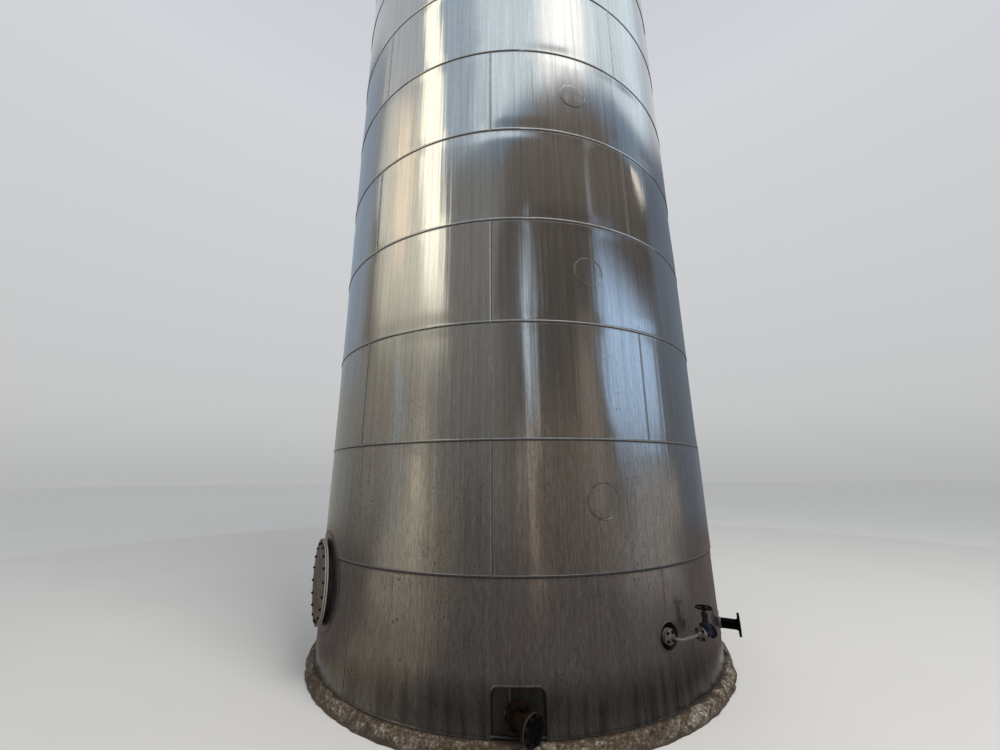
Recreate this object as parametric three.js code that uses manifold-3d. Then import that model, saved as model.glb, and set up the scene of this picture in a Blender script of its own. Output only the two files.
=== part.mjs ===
// Insulated vertical storage tank: a flat-bottomed steel vessel on a round concrete foundation,
// wrapped in mineral wool and clad with rolled stainless sheets, with a conical roof, a vent,
// a rim guard rail, a bolted manway, a bottom outlet, a sampling valve and a process nozzle.
// Millimetres, +Z up. The origin is on the tank's axis at the underside of the foundation.
// Angles around the tank are measured from -Y towards +X. A fitting's "height" is its centre line's.

import * as THREE from 'three';
import { mergeVertices } from 'three/addons/utils/BufferGeometryUtils.js';
import Module from 'manifold-3d';

const wasm = await Module();
wasm.setup();

// Driving dimensions: the body of the tank

const GAP = 0.3; // clearance between neighbouring pieces
const SIDES = 50; // flat sides of every ring around the tank's axis

const FOUNDATION_HEIGHT = 100;
const FOUNDATION_RADIUS = 2217;
const FOUNDATION_FOOT = { out: 6, height: 30 }; // where the mortar spreads most
const FOUNDATION_SHOULDER = { in: 22, height: 82 }; // where it slopes back towards the cladding
const FOUNDATION_LEDGE = 18; // flat top left outside the cladding

const VESSEL_RADIUS = 2000; // inside of the vessel wall
const VESSEL_WALL = 6;
const VESSEL_TOP = 9740;
const FLOOR_THICKNESS = 8;
const FLOOR_RADIUS = 2045;

const CLADDING_RADIUS = 2137; // outside of the cladding sheets
const SHEET = 1; // thickness of a cladding sheet
const COURSES = 10;
const COURSE_HEIGHT = 975;
const BEAD_OUT = 6; // the swaged bead along each sheet's lower edge
const BEAD_HEIGHT = 20;
const DRIP_GAP = 3; // between the lowest sheet and the foundation
const CLADDING_BASE = FOUNDATION_HEIGHT;
const CLADDING_TOP = CLADDING_BASE + COURSES * COURSE_HEIGHT;
const INSULATION_SPLIT = CLADDING_BASE + 2 * COURSE_HEIGHT;

const ROOF_SLOPE = Math.tan(THREE.MathUtils.degToRad(10));
const ROOF_PLATE = 6;
const ROOF_SHEET = 1.5;
const RIM_TOP = 9880;
const RIM_INNER = 2060;
const RIM_OUTER = 2146;
const RIM_SKIRT = 50; // how far the rim flashing hangs down over the top course
const RIM_CLEARANCE = 2; // from the skirt to the cladding behind it

// Driving dimensions: the fittings

const VENT = { radius: 109.5, wall: 6, top: 10460, flange: 170, thickness: 20, reachIn: 20, sides: 24 };
const HOOD = { radius: 240, wall: 3, clearance: 90, skirt: 35, pitch: 48, crown: 4, sides: 24 };
const HOOD_LEG = { count: 3, radius: 150, width: 40, thickness: 6 };

const RAIL = { radius: 2102, top: 950, middle: 450, tube: 17, post: 21, sections: 4, posts: 3 };
const RAIL_FOOT = { depth: 76, width: 90, thickness: 8 };

const CAP_RADIUS = 142;
const CAP_PROUD = 3;
const CAP_ANGLES = [18.8, 18.7, 17.4, 18.3, 18.3];
const CAP_FIRST = CLADDING_BASE + 1.525 * COURSE_HEIGHT;
const CAP_SPACING = 1.985 * COURSE_HEIGHT;

const MANWAY = {
  angle: -57.5,
  height: 832,
  neck: 305,
  wall: 8,
  flange: 374,
  thickness: 14,
  standOff: 36, // from the cladding to the back of the flange
  cover: 14,
  collar: 448,
  collarProud: 4,
  reachIn: 40,
  sides: 32,
};

const OUTLET = {
  angle: 0.15,
  height: 235,
  neck: 44.5,
  wall: 5,
  flange: 92,
  thickness: 18,
  standOff: 2,
  bend: 60, // radius of the spool's bend
  turn: THREE.MathUtils.degToRad(43),
  straight: 96,
  lastFlange: { back: -12, face: 4 }, // along the spool, from its end
  reachIn: 20,
  sides: 18,
};
const OUTLET_COVER = { setBack: 12, thickness: 2, halfWidth: 184, top: 164, lap: -54, clearance: 8 };
const OUTLET_POCKET = { halfWidth: 186, top: 167, bottom: -160, corner: 50, edge: 2 };
const OUTLET_FRAME = { halfWidth: 198, top: 179, corner: 60, rail: 15, proud: 5 };

const SAMPLING = {
  angle: 32.4,
  height: 598,
  neck: 21.2,
  wall: 3,
  flange: 55,
  thickness: 16,
  proud: 6, // from the cladding to the flange's face
  hole: 95,
  pipe: 10.7,
  bend: 38, // radius of the pipe's bend to the right
  reachIn: 20,
  sides: 18,
};
const SAMPLING_COLLAR = { inner: 91, outer: 106, proud: 8 };

const VALVE = {
  out: 110, // of its centre line, from the cladding
  right: 245, // of its inlet face, from the nozzle
  length: 130,
  flange: 50,
  thickness: 14,
  waist: 28,
  ball: 38,
  ballHalf: 18,
  bore: 13,
  boreDepth: 30,
  boss: 36,
  bossTop: 42,
};
const BONNET = {
  flange: 46,
  flangeTop: 54,
  foot: 30,
  housing: 21,
  cap: 24,
  top: 146,
  bush: 6.5,
  bushDepth: 30,
};
const HANDWHEEL = {
  height: 172,
  radius: 56.5,
  rim: 6,
  hub: 11,
  stem: 6,
  stemTop: 20,
  spokeWidth: 9,
  spoke: 6,
};

const PROCESS = {
  angle: 66,
  height: 400,
  neck: 44.5,
  wall: 5,
  flange: 100,
  thickness: 20,
  reach: 180, // from the cladding to the flange's face
  collar: 100.5,
  collarProud: 3,
  clearance: 2, // around the neck, in the sheet
  reachIn: 20,
  sides: 18,
};

// Materials

function metal(color, roughness, metalness) {
  return new THREE.MeshStandardMaterial({ color, roughness, metalness, flatShading: true });
}

const CLADDING_STEEL = metal(0xa9aaa9, 0.35, 1.0);
const ROOF_STEEL = metal(0xb2b3b2, 0.4, 1.0);
const VESSEL_STEEL = metal(0x8d8f90, 0.5, 1.0);
const MINERAL_WOOL = metal(0xb9a36a, 0.95, 0.0);
const CONCRETE = metal(0x8e8577, 0.95, 0.0);
const GALVANISED = metal(0x9a9d9e, 0.55, 0.8);
const OFF_WHITE_PAINT = metal(0xb9ab9c, 0.6, 0.2);
const RUSTY_STEEL = metal(0x5f3a24, 0.85, 0.4);
const BLACK_STEEL = metal(0x1c1c1e, 0.6, 0.5);
const PIPE_STEEL = metal(0x9c978c, 0.45, 0.9);
const VALVE_BLUE = metal(0x1b2336, 0.5, 0.4);

// Shape helpers

// A closed [radius, height] profile turned around +Z.
function revolve(profile, sides = SIDES) {
  const points = profile.map(([radius, height]) => new THREE.Vector2(radius, height));
  const onAxis = points[0].x === 0 && points.at(-1).x === 0;
  if (THREE.ShapeUtils.area(points) < 0) {
    points.reverse();
  }
  if (!onAxis) {
    points.push(points[0].clone());
  }
  return new THREE.LatheGeometry(points, sides).rotateX(Math.PI / 2);
}

// The same, turned around +X, for fittings that point outwards.
function revolveOutwards(profile, sides) {
  return revolve(profile, sides).rotateY(Math.PI / 2);
}

function cylinder(radius, low, high, sides) {
  return revolve([[0, low], [radius, low], [radius, high], [0, high]], sides);
}

// A round plate that faces outwards, between two distances along +X.
function roundPlate(radius, back, face, sides) {
  return revolveOutwards([[0, back], [radius, back], [radius, face], [0, face]], sides);
}

// A pipe that ends in a flange, around +X.
function flangedNeck(fitting, innerEnd, flangeBack, flangeFace) {
  const bore = fitting.neck - fitting.wall;
  return revolveOutwards([
    [bore, innerEnd],
    [fitting.neck, innerEnd],
    [fitting.neck, flangeBack],
    [fitting.flange, flangeBack],
    [fitting.flange, flangeFace],
    [bore, flangeFace],
  ], fitting.sides);
}

function box(sizeX, sizeY, sizeZ, x, y, z) {
  return new THREE.BoxGeometry(sizeX, sizeY, sizeZ).translate(x, y, z);
}

function regularSection(radius, sides) {
  const corners = Array.from({ length: sides }, (_, i) => {
    const angle = ((i + 0.5) / sides) * 2 * Math.PI;
    return new THREE.Vector2(radius * Math.cos(angle), radius * Math.sin(angle));
  });
  return new THREE.Shape(corners);
}

function tubeAlong(curve, radius, steps, sides) {
  return new THREE.ExtrudeGeometry(regularSection(radius, sides), {
    steps,
    extrudePath: curve,
    bevelEnabled: false,
  });
}

// Joining and cutting

function toSolid(geometry) {
  const bare = geometry.clone();
  bare.deleteAttribute('normal');
  bare.deleteAttribute('uv');
  const merged = mergeVertices(bare, 1e-3);
  return new wasm.Manifold(new wasm.Mesh({
    numProp: 3,
    vertProperties: merged.attributes.position.array,
    triVerts: Uint32Array.from(merged.index.array),
  }));
}

function toGeometry(solid) {
  const mesh = solid.getMesh();
  const geometry = new THREE.BufferGeometry();
  geometry.setAttribute('position', new THREE.BufferAttribute(mesh.vertProperties, 3));
  geometry.setIndex(new THREE.BufferAttribute(mesh.triVerts, 1));
  geometry.computeVertexNormals();
  return geometry;
}

function cut(geometry, ...cutters) {
  return toGeometry(cutters.reduce((solid, cutter) => solid.subtract(toSolid(cutter)), toSolid(geometry)));
}

function fuse(...geometries) {
  return toGeometry(geometries.map(toSolid).reduce((solid, next) => solid.add(next)));
}

function common(first, second) {
  return toGeometry(toSolid(first).intersect(toSolid(second)));
}

// Placing things on the round wall

const WALL_INSIDE = VESSEL_RADIUS - 100; // a cutter's reach, inwards and outwards
const WALL_OUTSIDE = CLADDING_RADIUS + 163;
const PLATE_REACH = 700; // half the height of the band that a wall plate is cut from

// The turn about +Z that sends +X outwards at an angle around the tank.
function outwardTurn(angle) {
  return THREE.MathUtils.degToRad(angle - 90);
}

function atWall(geometry, { angle, height }) {
  return geometry.rotateZ(outwardTurn(angle)).translate(0, 0, height);
}

function wallGroup({ angle, height }) {
  const group = new THREE.Group();
  group.rotation.z = outwardTurn(angle);
  group.position.z = height;
  return group;
}

// A round bar through the wall, as the cutter for a fitting's hole.
function wallHole(fitting, radius) {
  return atWall(roundPlate(radius, WALL_INSIDE, WALL_OUTSIDE, fitting.sides), fitting);
}

function ring(inner, outer, low, high) {
  return revolve([[inner, low], [outer, low], [outer, high], [inner, high]]);
}

// A plate that follows the faceted wall: the outline, pushed outwards, cut from a ring.
function wallPlate(outline, fitting, inner, outer) {
  const { height } = fitting;
  const band = ring(inner, outer, height - PLATE_REACH, height + PLATE_REACH);
  const depth = WALL_OUTSIDE - WALL_INSIDE;
  const block = new THREE.ExtrudeGeometry(outline, { depth, bevelEnabled: false });
  block.rotateX(Math.PI / 2).rotateZ(Math.PI / 2).translate(WALL_INSIDE, 0, 0);
  return common(band, atWall(block, fitting));
}

function circlePoints(radius, sides) {
  return new THREE.Path().absarc(0, 0, radius, 0, 2 * Math.PI).getSpacedPoints(sides).slice(0, sides);
}

function disc(radius, sides) {
  return new THREE.Shape(circlePoints(radius, sides));
}

function annulus(inner, outer, sides) {
  const outline = disc(outer, sides);
  outline.holes.push(new THREE.Path(circlePoints(inner, sides)));
  return outline;
}

// A quarter circle's points, anticlockwise from the starting angle.
function cornerPoints(x, y, radius, from, steps = 3) {
  return Array.from({ length: steps + 1 }, (_, step) => {
    const angle = from + (step / steps) * (Math.PI / 2);
    return new THREE.Vector2(x + radius * Math.cos(angle), y + radius * Math.sin(angle));
  });
}

// A panel with round upper corners.
function archedPanel(left, right, bottom, top, corner) {
  return new THREE.Shape([
    new THREE.Vector2(left, bottom),
    new THREE.Vector2(right, bottom),
    ...cornerPoints(right - corner, top - corner, corner, 0),
    ...cornerPoints(left + corner, top - corner, corner, Math.PI / 2),
  ]);
}

function rectangle(left, right, bottom, top) {
  return new THREE.Shape([[left, bottom], [right, bottom], [right, top], [left, top]]
    .map(([x, y]) => new THREE.Vector2(x, y)));
}

const tank = new THREE.Group();
tank.name = 'vertical_storage_tank';

function addPart(name, geometry, material, parent = tank) {
  const mesh = new THREE.Mesh(geometry, material);
  mesh.name = name;
  parent.add(mesh);
  return mesh;
}

// Foundation and vessel

const FLOOR_TOP = FOUNDATION_HEIGHT + FLOOR_THICKNESS;

function foundation() {
  return revolve([
    [0, 0],
    [FOUNDATION_RADIUS, 0],
    [FOUNDATION_RADIUS + FOUNDATION_FOOT.out, FOUNDATION_FOOT.height],
    [FOUNDATION_RADIUS - FOUNDATION_SHOULDER.in, FOUNDATION_SHOULDER.height],
    [CLADDING_RADIUS + FOUNDATION_LEDGE, FOUNDATION_HEIGHT],
    [0, FOUNDATION_HEIGHT],
  ]);
}

function vesselWall() {
  const wall = ring(VESSEL_RADIUS, VESSEL_RADIUS + VESSEL_WALL, FLOOR_TOP, VESSEL_TOP);
  const holes = [MANWAY, OUTLET, SAMPLING, PROCESS].map((fitting) => wallHole(fitting, fitting.neck + GAP));
  return cut(wall, ...holes);
}

// Roof levels, as heights at a radius

function roofPlateUnderside(radius) {
  return VESSEL_TOP + GAP + (VESSEL_RADIUS + VESSEL_WALL - radius) * ROOF_SLOPE;
}

function roofCladdingUnderside(radius) {
  return CLADDING_TOP + GAP + (CLADDING_RADIUS - radius) * ROOF_SLOPE;
}

function coneShell(inner, outer, underside, top) {
  return revolve([
    [inner, underside(inner)],
    [outer, underside(outer)],
    [outer, top(outer)],
    [inner, top(inner)],
  ]);
}

function roofPlate() {
  const top = (radius) => roofPlateUnderside(radius) + ROOF_PLATE;
  return coneShell(VENT.radius + GAP, VESSEL_RADIUS + VESSEL_WALL, roofPlateUnderside, top);
}

function roofInsulation() {
  const underside = (radius) => roofPlateUnderside(radius) + ROOF_PLATE + GAP;
  const top = (radius) => roofCladdingUnderside(radius) - GAP;
  return coneShell(VENT.radius + GAP, VESSEL_RADIUS + VESSEL_WALL - GAP, underside, top);
}

function roofCladding() {
  const top = (radius) => roofCladdingUnderside(radius) + ROOF_SHEET;
  return coneShell(VENT.radius + GAP, CLADDING_RADIUS + SHEET, roofCladdingUnderside, top);
}

// The folded flashing that closes the joint of roof and wall and gives the rail posts a flat seat.
function roofRim() {
  const onRoof = (radius) => roofCladdingUnderside(radius) + ROOF_SHEET + GAP;
  const skirtInner = CLADDING_RADIUS + RIM_CLEARANCE;
  return revolve([
    [RIM_INNER, onRoof(RIM_INNER)],
    [skirtInner, onRoof(skirtInner)],
    [skirtInner, CLADDING_TOP - RIM_SKIRT],
    [RIM_OUTER, CLADDING_TOP - RIM_SKIRT],
    [RIM_OUTER, RIM_TOP],
    [RIM_INNER, RIM_TOP],
  ]);
}

// Insulation

const INSULATION_INNER = VESSEL_RADIUS + VESSEL_WALL + GAP;
const INSULATION_OUTER = CLADDING_RADIUS - SHEET - GAP;

// The recess behind the outlet's cover plates, from an inner radius outwards.
function outletPocket(inner, margin) {
  const { halfWidth, top, bottom, corner } = OUTLET_POCKET;
  const outline = archedPanel(-halfWidth - margin, halfWidth + margin, bottom, top + margin, corner);
  return wallPlate(outline, OUTLET, inner, WALL_OUTSIDE);
}

function outletPocketCutter() {
  return outletPocket(CLADDING_RADIUS - OUTLET_COVER.setBack - GAP, 0);
}

function insulationLower() {
  const wool = ring(INSULATION_INNER, INSULATION_OUTER, FLOOR_TOP + GAP, INSULATION_SPLIT);
  return cut(
    wool,
    wallHole(MANWAY, MANWAY.neck + GAP),
    wallHole(SAMPLING, SAMPLING.hole),
    wallHole(PROCESS, PROCESS.neck + GAP),
    wallHole(OUTLET, OUTLET.neck + GAP),
    outletPocketCutter(),
  );
}

function insulationUpper() {
  return revolve([
    [INSULATION_INNER, INSULATION_SPLIT + GAP],
    [INSULATION_OUTER, INSULATION_SPLIT + GAP],
    [INSULATION_OUTER, roofCladdingUnderside(INSULATION_OUTER) - GAP],
    [INSULATION_INNER, roofCladdingUnderside(INSULATION_INNER) - GAP],
  ]);
}

// Cladding courses, counted from the ground

function claddingCourse(index) {
  const low = CLADDING_BASE + index * COURSE_HEIGHT + GAP;
  const high = CLADDING_BASE + (index + 1) * COURSE_HEIGHT;
  const inner = CLADDING_RADIUS - SHEET;
  if (index === 0) {
    return ring(inner, CLADDING_RADIUS, low + DRIP_GAP, high);
  }
  return revolve([
    [inner, low],
    [CLADDING_RADIUS + BEAD_OUT, low],
    [CLADDING_RADIUS, low + BEAD_HEIGHT],
    [CLADDING_RADIUS, high],
    [inner, high],
  ]);
}

function claddingCutters(index) {
  const manway = wallHole(MANWAY, MANWAY.collar + GAP);
  if (index > 0) {
    return [manway];
  }
  return [
    manway,
    wallHole(SAMPLING, SAMPLING.hole),
    wallHole(PROCESS, PROCESS.neck + PROCESS.clearance),
    outletPocketCutter(),
  ];
}

function addCladding() {
  for (let index = 0; index < COURSES; index += 1) {
    const sheets = claddingCourse(index);
    const isPierced = CLADDING_BASE + index * COURSE_HEIGHT < MANWAY.height + MANWAY.collar;
    const course = isPierced ? cut(sheets, ...claddingCutters(index)) : sheets;
    addPart(`cladding_course_${String(index + 1).padStart(2, '0')}`, course, CLADDING_STEEL);
  }
}

function addInspectionCaps() {
  CAP_ANGLES.forEach((angle, index) => {
    const place = { angle, height: CAP_FIRST + index * CAP_SPACING };
    const cap = wallPlate(disc(CAP_RADIUS, 28), place, CLADDING_RADIUS + GAP, CLADDING_RADIUS + CAP_PROUD);
    addPart(`inspection_cap_${index + 1}`, cap, CLADDING_STEEL);
  });
}

// Vent

function ventNeck() {
  const bottom = roofPlateUnderside(VENT.radius) - VENT.reachIn;
  const bore = VENT.radius - VENT.wall;
  return revolve([
    [bore, bottom],
    [VENT.radius, bottom],
    [VENT.radius, VENT.top - VENT.thickness],
    [VENT.flange, VENT.top - VENT.thickness],
    [VENT.flange, VENT.top],
    [bore, VENT.top],
  ], VENT.sides);
}

// A shallow cone with a turned-down skirt, on three flat legs that stand on the vent's flange.
function ventHood() {
  const eaves = VENT.top + HOOD.clearance;
  const inner = HOOD.radius - HOOD.wall;
  const rise = HOOD.skirt - 13;
  const cap = revolve([
    [0, eaves + rise + HOOD.pitch],
    [inner, eaves + rise],
    [inner, eaves - HOOD.skirt],
    [HOOD.radius, eaves - HOOD.skirt],
    [HOOD.radius, eaves + rise + HOOD.wall],
    [0, eaves + rise + HOOD.pitch + HOOD.crown],
  ], HOOD.sides);
  const legHeight = HOOD.clearance + HOOD.pitch;
  const legs = Array.from({ length: HOOD_LEG.count }, (_, index) => {
    const { thickness, width, radius, count } = HOOD_LEG;
    const leg = box(thickness, width, legHeight, radius, 0, VENT.top + legHeight / 2);
    return leg.rotateZ((index * 2 * Math.PI) / count);
  });
  return fuse(cap, ...legs);
}

// Guard rail: four equal sections, each a pair of rails on three footed posts

class RailArc extends THREE.Curve {
  constructor(radius, height, from, to) {
    super();
    Object.assign(this, { radius, height, from, to });
  }

  getPoint(t, target = new THREE.Vector3()) {
    const angle = THREE.MathUtils.lerp(this.from, this.to, t);
    return target.set(this.radius * Math.cos(angle), this.radius * Math.sin(angle), this.height);
  }
}

function railSection() {
  const half = Math.PI / RAIL.sections - GAP / RAIL.radius;
  const rails = [RAIL.top, RAIL.middle].map((height) => {
    const arc = new RailArc(RAIL.radius, RIM_TOP + height, -half, half);
    return tubeAlong(arc, RAIL.tube, 9, 6);
  });
  const spacing = (2 * Math.PI) / RAIL.sections / RAIL.posts;
  const { depth, width, thickness } = RAIL_FOOT;
  const posts = [];
  for (let post = 0; post < RAIL.posts; post += 1) {
    const turn = (post - (RAIL.posts - 1) / 2) * spacing;
    const tube = cylinder(RAIL.post, RIM_TOP + thickness / 2, RIM_TOP + RAIL.top, 6);
    tube.translate(RAIL.radius, 0, 0);
    const foot = box(depth, width, thickness, RAIL.radius, 0, RIM_TOP + thickness / 2);
    posts.push(tube.rotateZ(turn), foot.rotateZ(turn));
  }
  return fuse(...rails, ...posts);
}

function addGuardRail() {
  for (let section = 0; section < RAIL.sections; section += 1) {
    const mesh = addPart(`guard_rail_${section + 1}`, railSection(), GALVANISED);
    mesh.rotation.z = ((section + 0.5) * 2 * Math.PI) / RAIL.sections;
  }
}

// Manway

function addManway() {
  const group = wallGroup(MANWAY);
  const flangeBack = CLADDING_RADIUS + MANWAY.standOff;
  const flangeFace = flangeBack + MANWAY.thickness;
  const neck = flangedNeck(MANWAY, VESSEL_RADIUS - MANWAY.reachIn, flangeBack, flangeFace);
  addPart('manway_neck', neck, OFF_WHITE_PAINT, group);
  const cover = roundPlate(MANWAY.flange, flangeFace + GAP, flangeFace + MANWAY.cover, MANWAY.sides);
  addPart('manway_cover', cover, OFF_WHITE_PAINT, group);
  tank.add(group);

  const collar = annulus(MANWAY.neck + GAP, MANWAY.collar, MANWAY.sides);
  const plate = wallPlate(collar, MANWAY, CLADDING_RADIUS - SHEET, CLADDING_RADIUS + MANWAY.collarProud);
  addPart('manway_collar', plate, CLADDING_STEEL);
}

// Bottom outlet: a nozzle, a spool with a bend to the right, and a blind flange

function outletPath(start) {
  const { bend, straight, turn } = OUTLET;
  const corner = new THREE.Vector3(start + bend * Math.sin(turn), bend * (1 - Math.cos(turn)), 0);
  const along = new THREE.Vector3(Math.cos(turn), Math.sin(turn), 0);
  const middle = new THREE.Vector3(start + bend * Math.tan(turn / 2), 0, 0);
  const end = corner.clone().addScaledVector(along, straight);
  const curve = new THREE.CurvePath();
  curve.add(new THREE.QuadraticBezierCurve3(new THREE.Vector3(start, 0, 0), middle, corner));
  curve.add(new THREE.LineCurve3(corner, end));
  return { curve, end };
}

function addOutlet() {
  const { neck, flange, thickness, lastFlange, sides, turn } = OUTLET;
  const group = wallGroup(OUTLET);
  const flangeBack = CLADDING_RADIUS + OUTLET.standOff;
  const flangeFace = flangeBack + thickness;
  const nozzle = flangedNeck(OUTLET, VESSEL_RADIUS - OUTLET.reachIn, flangeBack, flangeFace);
  addPart('outlet_nozzle', nozzle, RUSTY_STEEL, group);

  const spoolBack = flangeFace + GAP;
  const path = outletPath(spoolBack + thickness / 2);
  const firstFlange = roundPlate(flange, spoolBack, spoolBack + thickness, sides);
  const endFlange = roundPlate(flange, lastFlange.back, lastFlange.face, sides);
  endFlange.rotateZ(turn).translate(path.end.x, path.end.y, 0);
  const spool = fuse(firstFlange, tubeAlong(path.curve, neck, 8, 14), endFlange);
  addPart('outlet_spool', spool, RUSTY_STEEL, group);

  const blindPlate = roundPlate(flange, lastFlange.face + GAP, lastFlange.face + thickness, sides);
  const blind = addPart('outlet_blind_flange', blindPlate, BLACK_STEEL, group);
  blind.position.copy(path.end);
  blind.rotation.z = turn;
  tank.add(group);
}

// Two lapped cover plates behind the outlet, set back in a pocket, and the raised frame around them.
function addOutletCover() {
  const { halfWidth, top, lap, thickness } = OUTLET_COVER;
  const bottom = CLADDING_BASE + OUTLET_COVER.clearance - OUTLET.height;
  const low = CLADDING_RADIUS - OUTLET_COVER.setBack;
  const room = outletPocket(low - thickness, -OUTLET_POCKET.edge);
  const hole = wallHole(OUTLET, OUTLET.neck + 3);
  const plates = {
    outlet_cover_left: rectangle(-halfWidth, lap - GAP, bottom, top),
    outlet_cover_right: rectangle(lap + GAP, halfWidth, bottom, top),
  };
  for (const [name, outline] of Object.entries(plates)) {
    const plate = cut(wallPlate(outline, OUTLET, low, low + thickness), hole);
    addPart(name, common(plate, room), CLADDING_STEEL);
  }
}

function addOutletFrame() {
  const { halfWidth, top, corner, rail, proud } = OUTLET_FRAME;
  const bottom = CLADDING_BASE + OUTLET_COVER.clearance - OUTLET.height;
  const frame = archedPanel(-halfWidth, halfWidth, bottom, top, corner);
  const inside = archedPanel(rail - halfWidth, halfWidth - rail, bottom + rail, top - rail, corner - rail);
  frame.holes.push(new THREE.Path(inside.getPoints()));
  const raised = wallPlate(frame, OUTLET, CLADDING_RADIUS + GAP, CLADDING_RADIUS + proud);
  addPart('outlet_frame', raised, CLADDING_STEEL);
}

// Sampling nozzle, pipe and valve

// Straight out from the nozzle, then a bend to the right and along the wall to the valve.
function samplingCurve(start) {
  const line = CLADDING_RADIUS + VALVE.out;
  const { bend } = SAMPLING;
  const bendStart = new THREE.Vector3(line - bend, 0, 0);
  const bendEnd = new THREE.Vector3(line, bend, 0);
  const curve = new THREE.CurvePath();
  curve.add(new THREE.LineCurve3(new THREE.Vector3(start, 0, 0), bendStart));
  curve.add(new THREE.QuadraticBezierCurve3(bendStart, new THREE.Vector3(line, 0, 0), bendEnd));
  curve.add(new THREE.LineCurve3(bendEnd, new THREE.Vector3(line, VALVE.right - VALVE.thickness / 2, 0)));
  return curve;
}

function addSamplingPoint() {
  const { flange, thickness, sides } = SAMPLING;
  const group = wallGroup(SAMPLING);
  const flangeFace = CLADDING_RADIUS + SAMPLING.proud;
  const nozzle = flangedNeck(SAMPLING, VESSEL_RADIUS - SAMPLING.reachIn, flangeFace - thickness, flangeFace);
  addPart('sampling_nozzle', nozzle, GALVANISED, group);

  const plate = roundPlate(flange, flangeFace + GAP, flangeFace + thickness, sides);
  const pipe = tubeAlong(samplingCurve(flangeFace + thickness / 2), SAMPLING.pipe, 26, 10);
  const valveFlange = roundPlate(VALVE.flange, -VALVE.thickness, 0, sides);
  valveFlange.rotateZ(Math.PI / 2).translate(CLADDING_RADIUS + VALVE.out, VALVE.right, 0);
  addPart('sampling_pipe', fuse(plate, pipe, valveFlange), PIPE_STEEL, group);
  tank.add(group);

  const { inner, outer, proud } = SAMPLING_COLLAR;
  const collar = annulus(inner, outer, sides);
  const raised = wallPlate(collar, SAMPLING, CLADDING_RADIUS + GAP, CLADDING_RADIUS + proud);
  addPart('sampling_collar', raised, CLADDING_STEEL);
  addValve(group);
}

function valveBody() {
  const { length, thickness, waist, ball, ballHalf, bore, boreDepth } = VALVE;
  const body = revolveOutwards([
    [0, 0],
    [VALVE.flange, 0],
    [VALVE.flange, thickness],
    [waist, thickness + 6],
    [ball, length / 2 - ballHalf],
    [ball, length / 2 + ballHalf],
    [waist, length - thickness - 6],
    [VALVE.flange, length - thickness],
    [VALVE.flange, length],
    [bore, length],
    [bore, length - boreDepth],
    [0, length - boreDepth],
  ], SAMPLING.sides);
  return fuse(body, cylinder(VALVE.boss, 0, VALVE.bossTop, 16).translate(length / 2, 0, 0));
}

function valveBonnet() {
  const { flange, flangeTop, foot, housing, cap, top, bush, bushDepth } = BONNET;
  return revolve([
    [0, VALVE.bossTop + GAP],
    [flange, VALVE.bossTop + GAP],
    [flange, flangeTop],
    [foot, flangeTop + 4],
    [housing, flangeTop + 22],
    [housing, top - 26],
    [cap, top - 20],
    [cap, top],
    [bush, top],
    [bush, top - bushDepth],
    [0, top - bushDepth],
  ], 16);
}

// Rim, three spokes, hub and stem, around +Z. The stem runs down into the bonnet's bush.
function handwheel() {
  const { height, radius, spokeWidth, spoke } = HANDWHEEL;
  const rim = new THREE.TorusGeometry(radius, HANDWHEEL.rim, 6, 24).translate(0, 0, height);
  const hub = cylinder(HANDWHEEL.hub, height - 8, height + 9, 12);
  const stemFoot = BONNET.top - BONNET.bushDepth + 1;
  const stem = cylinder(HANDWHEEL.stem, stemFoot, height + HANDWHEEL.stemTop, 10);
  const spokes = [90, 210, 330].map((angle) => {
    const bar = box(radius, spokeWidth, spoke, radius / 2, 0, height);
    return bar.rotateZ(THREE.MathUtils.degToRad(angle));
  });
  return fuse(rim, hub, stem, ...spokes);
}

// The valve's own frame: +X along the flow, to the right; +Z up the stem; origin at its inlet face.
function addValve(parent) {
  const valve = new THREE.Group();
  valve.position.set(CLADDING_RADIUS + VALVE.out, VALVE.right + GAP, 0);
  valve.rotation.z = Math.PI / 2;
  parent.add(valve);
  addPart('sampling_valve_body', valveBody(), VALVE_BLUE, valve);
  const bonnet = addPart('sampling_valve_bonnet', valveBonnet(), VALVE_BLUE, valve);
  const wheel = addPart('sampling_valve_handwheel', handwheel(), BLACK_STEEL, valve);
  bonnet.position.x = VALVE.length / 2;
  wheel.position.x = VALVE.length / 2;
}

// Process nozzle

function addProcessNozzle() {
  const group = wallGroup(PROCESS);
  const face = CLADDING_RADIUS + PROCESS.reach;
  const nozzle = flangedNeck(PROCESS, VESSEL_RADIUS - PROCESS.reachIn, face - PROCESS.thickness, face);
  addPart('process_nozzle', nozzle, BLACK_STEEL, group);
  tank.add(group);

  const collar = annulus(PROCESS.neck + 1, PROCESS.collar, PROCESS.sides);
  const plate = wallPlate(collar, PROCESS, CLADDING_RADIUS + GAP, CLADDING_RADIUS + PROCESS.collarProud);
  addPart('process_collar', plate, CLADDING_STEEL);
}

// Assembly

addPart('foundation', foundation(), CONCRETE);
addPart('vessel_floor', cylinder(FLOOR_RADIUS, FOUNDATION_HEIGHT, FLOOR_TOP, SIDES), VESSEL_STEEL);
addPart('vessel_wall', vesselWall(), VESSEL_STEEL);
addPart('vessel_roof', roofPlate(), VESSEL_STEEL);
addPart('insulation_lower', insulationLower(), MINERAL_WOOL);
addPart('insulation_upper', insulationUpper(), MINERAL_WOOL);
addPart('roof_insulation', roofInsulation(), MINERAL_WOOL);
addCladding();
addPart('roof_cladding', roofCladding(), ROOF_STEEL);
addPart('roof_rim', roofRim(), ROOF_STEEL);
addPart('vent_neck', ventNeck(), GALVANISED);
addPart('vent_hood', ventHood(), GALVANISED);
addGuardRail();
addInspectionCaps();
addManway();
addOutlet();
addOutletCover();
addOutletFrame();
addSamplingPoint();
addProcessNozzle();

export default tank;
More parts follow.
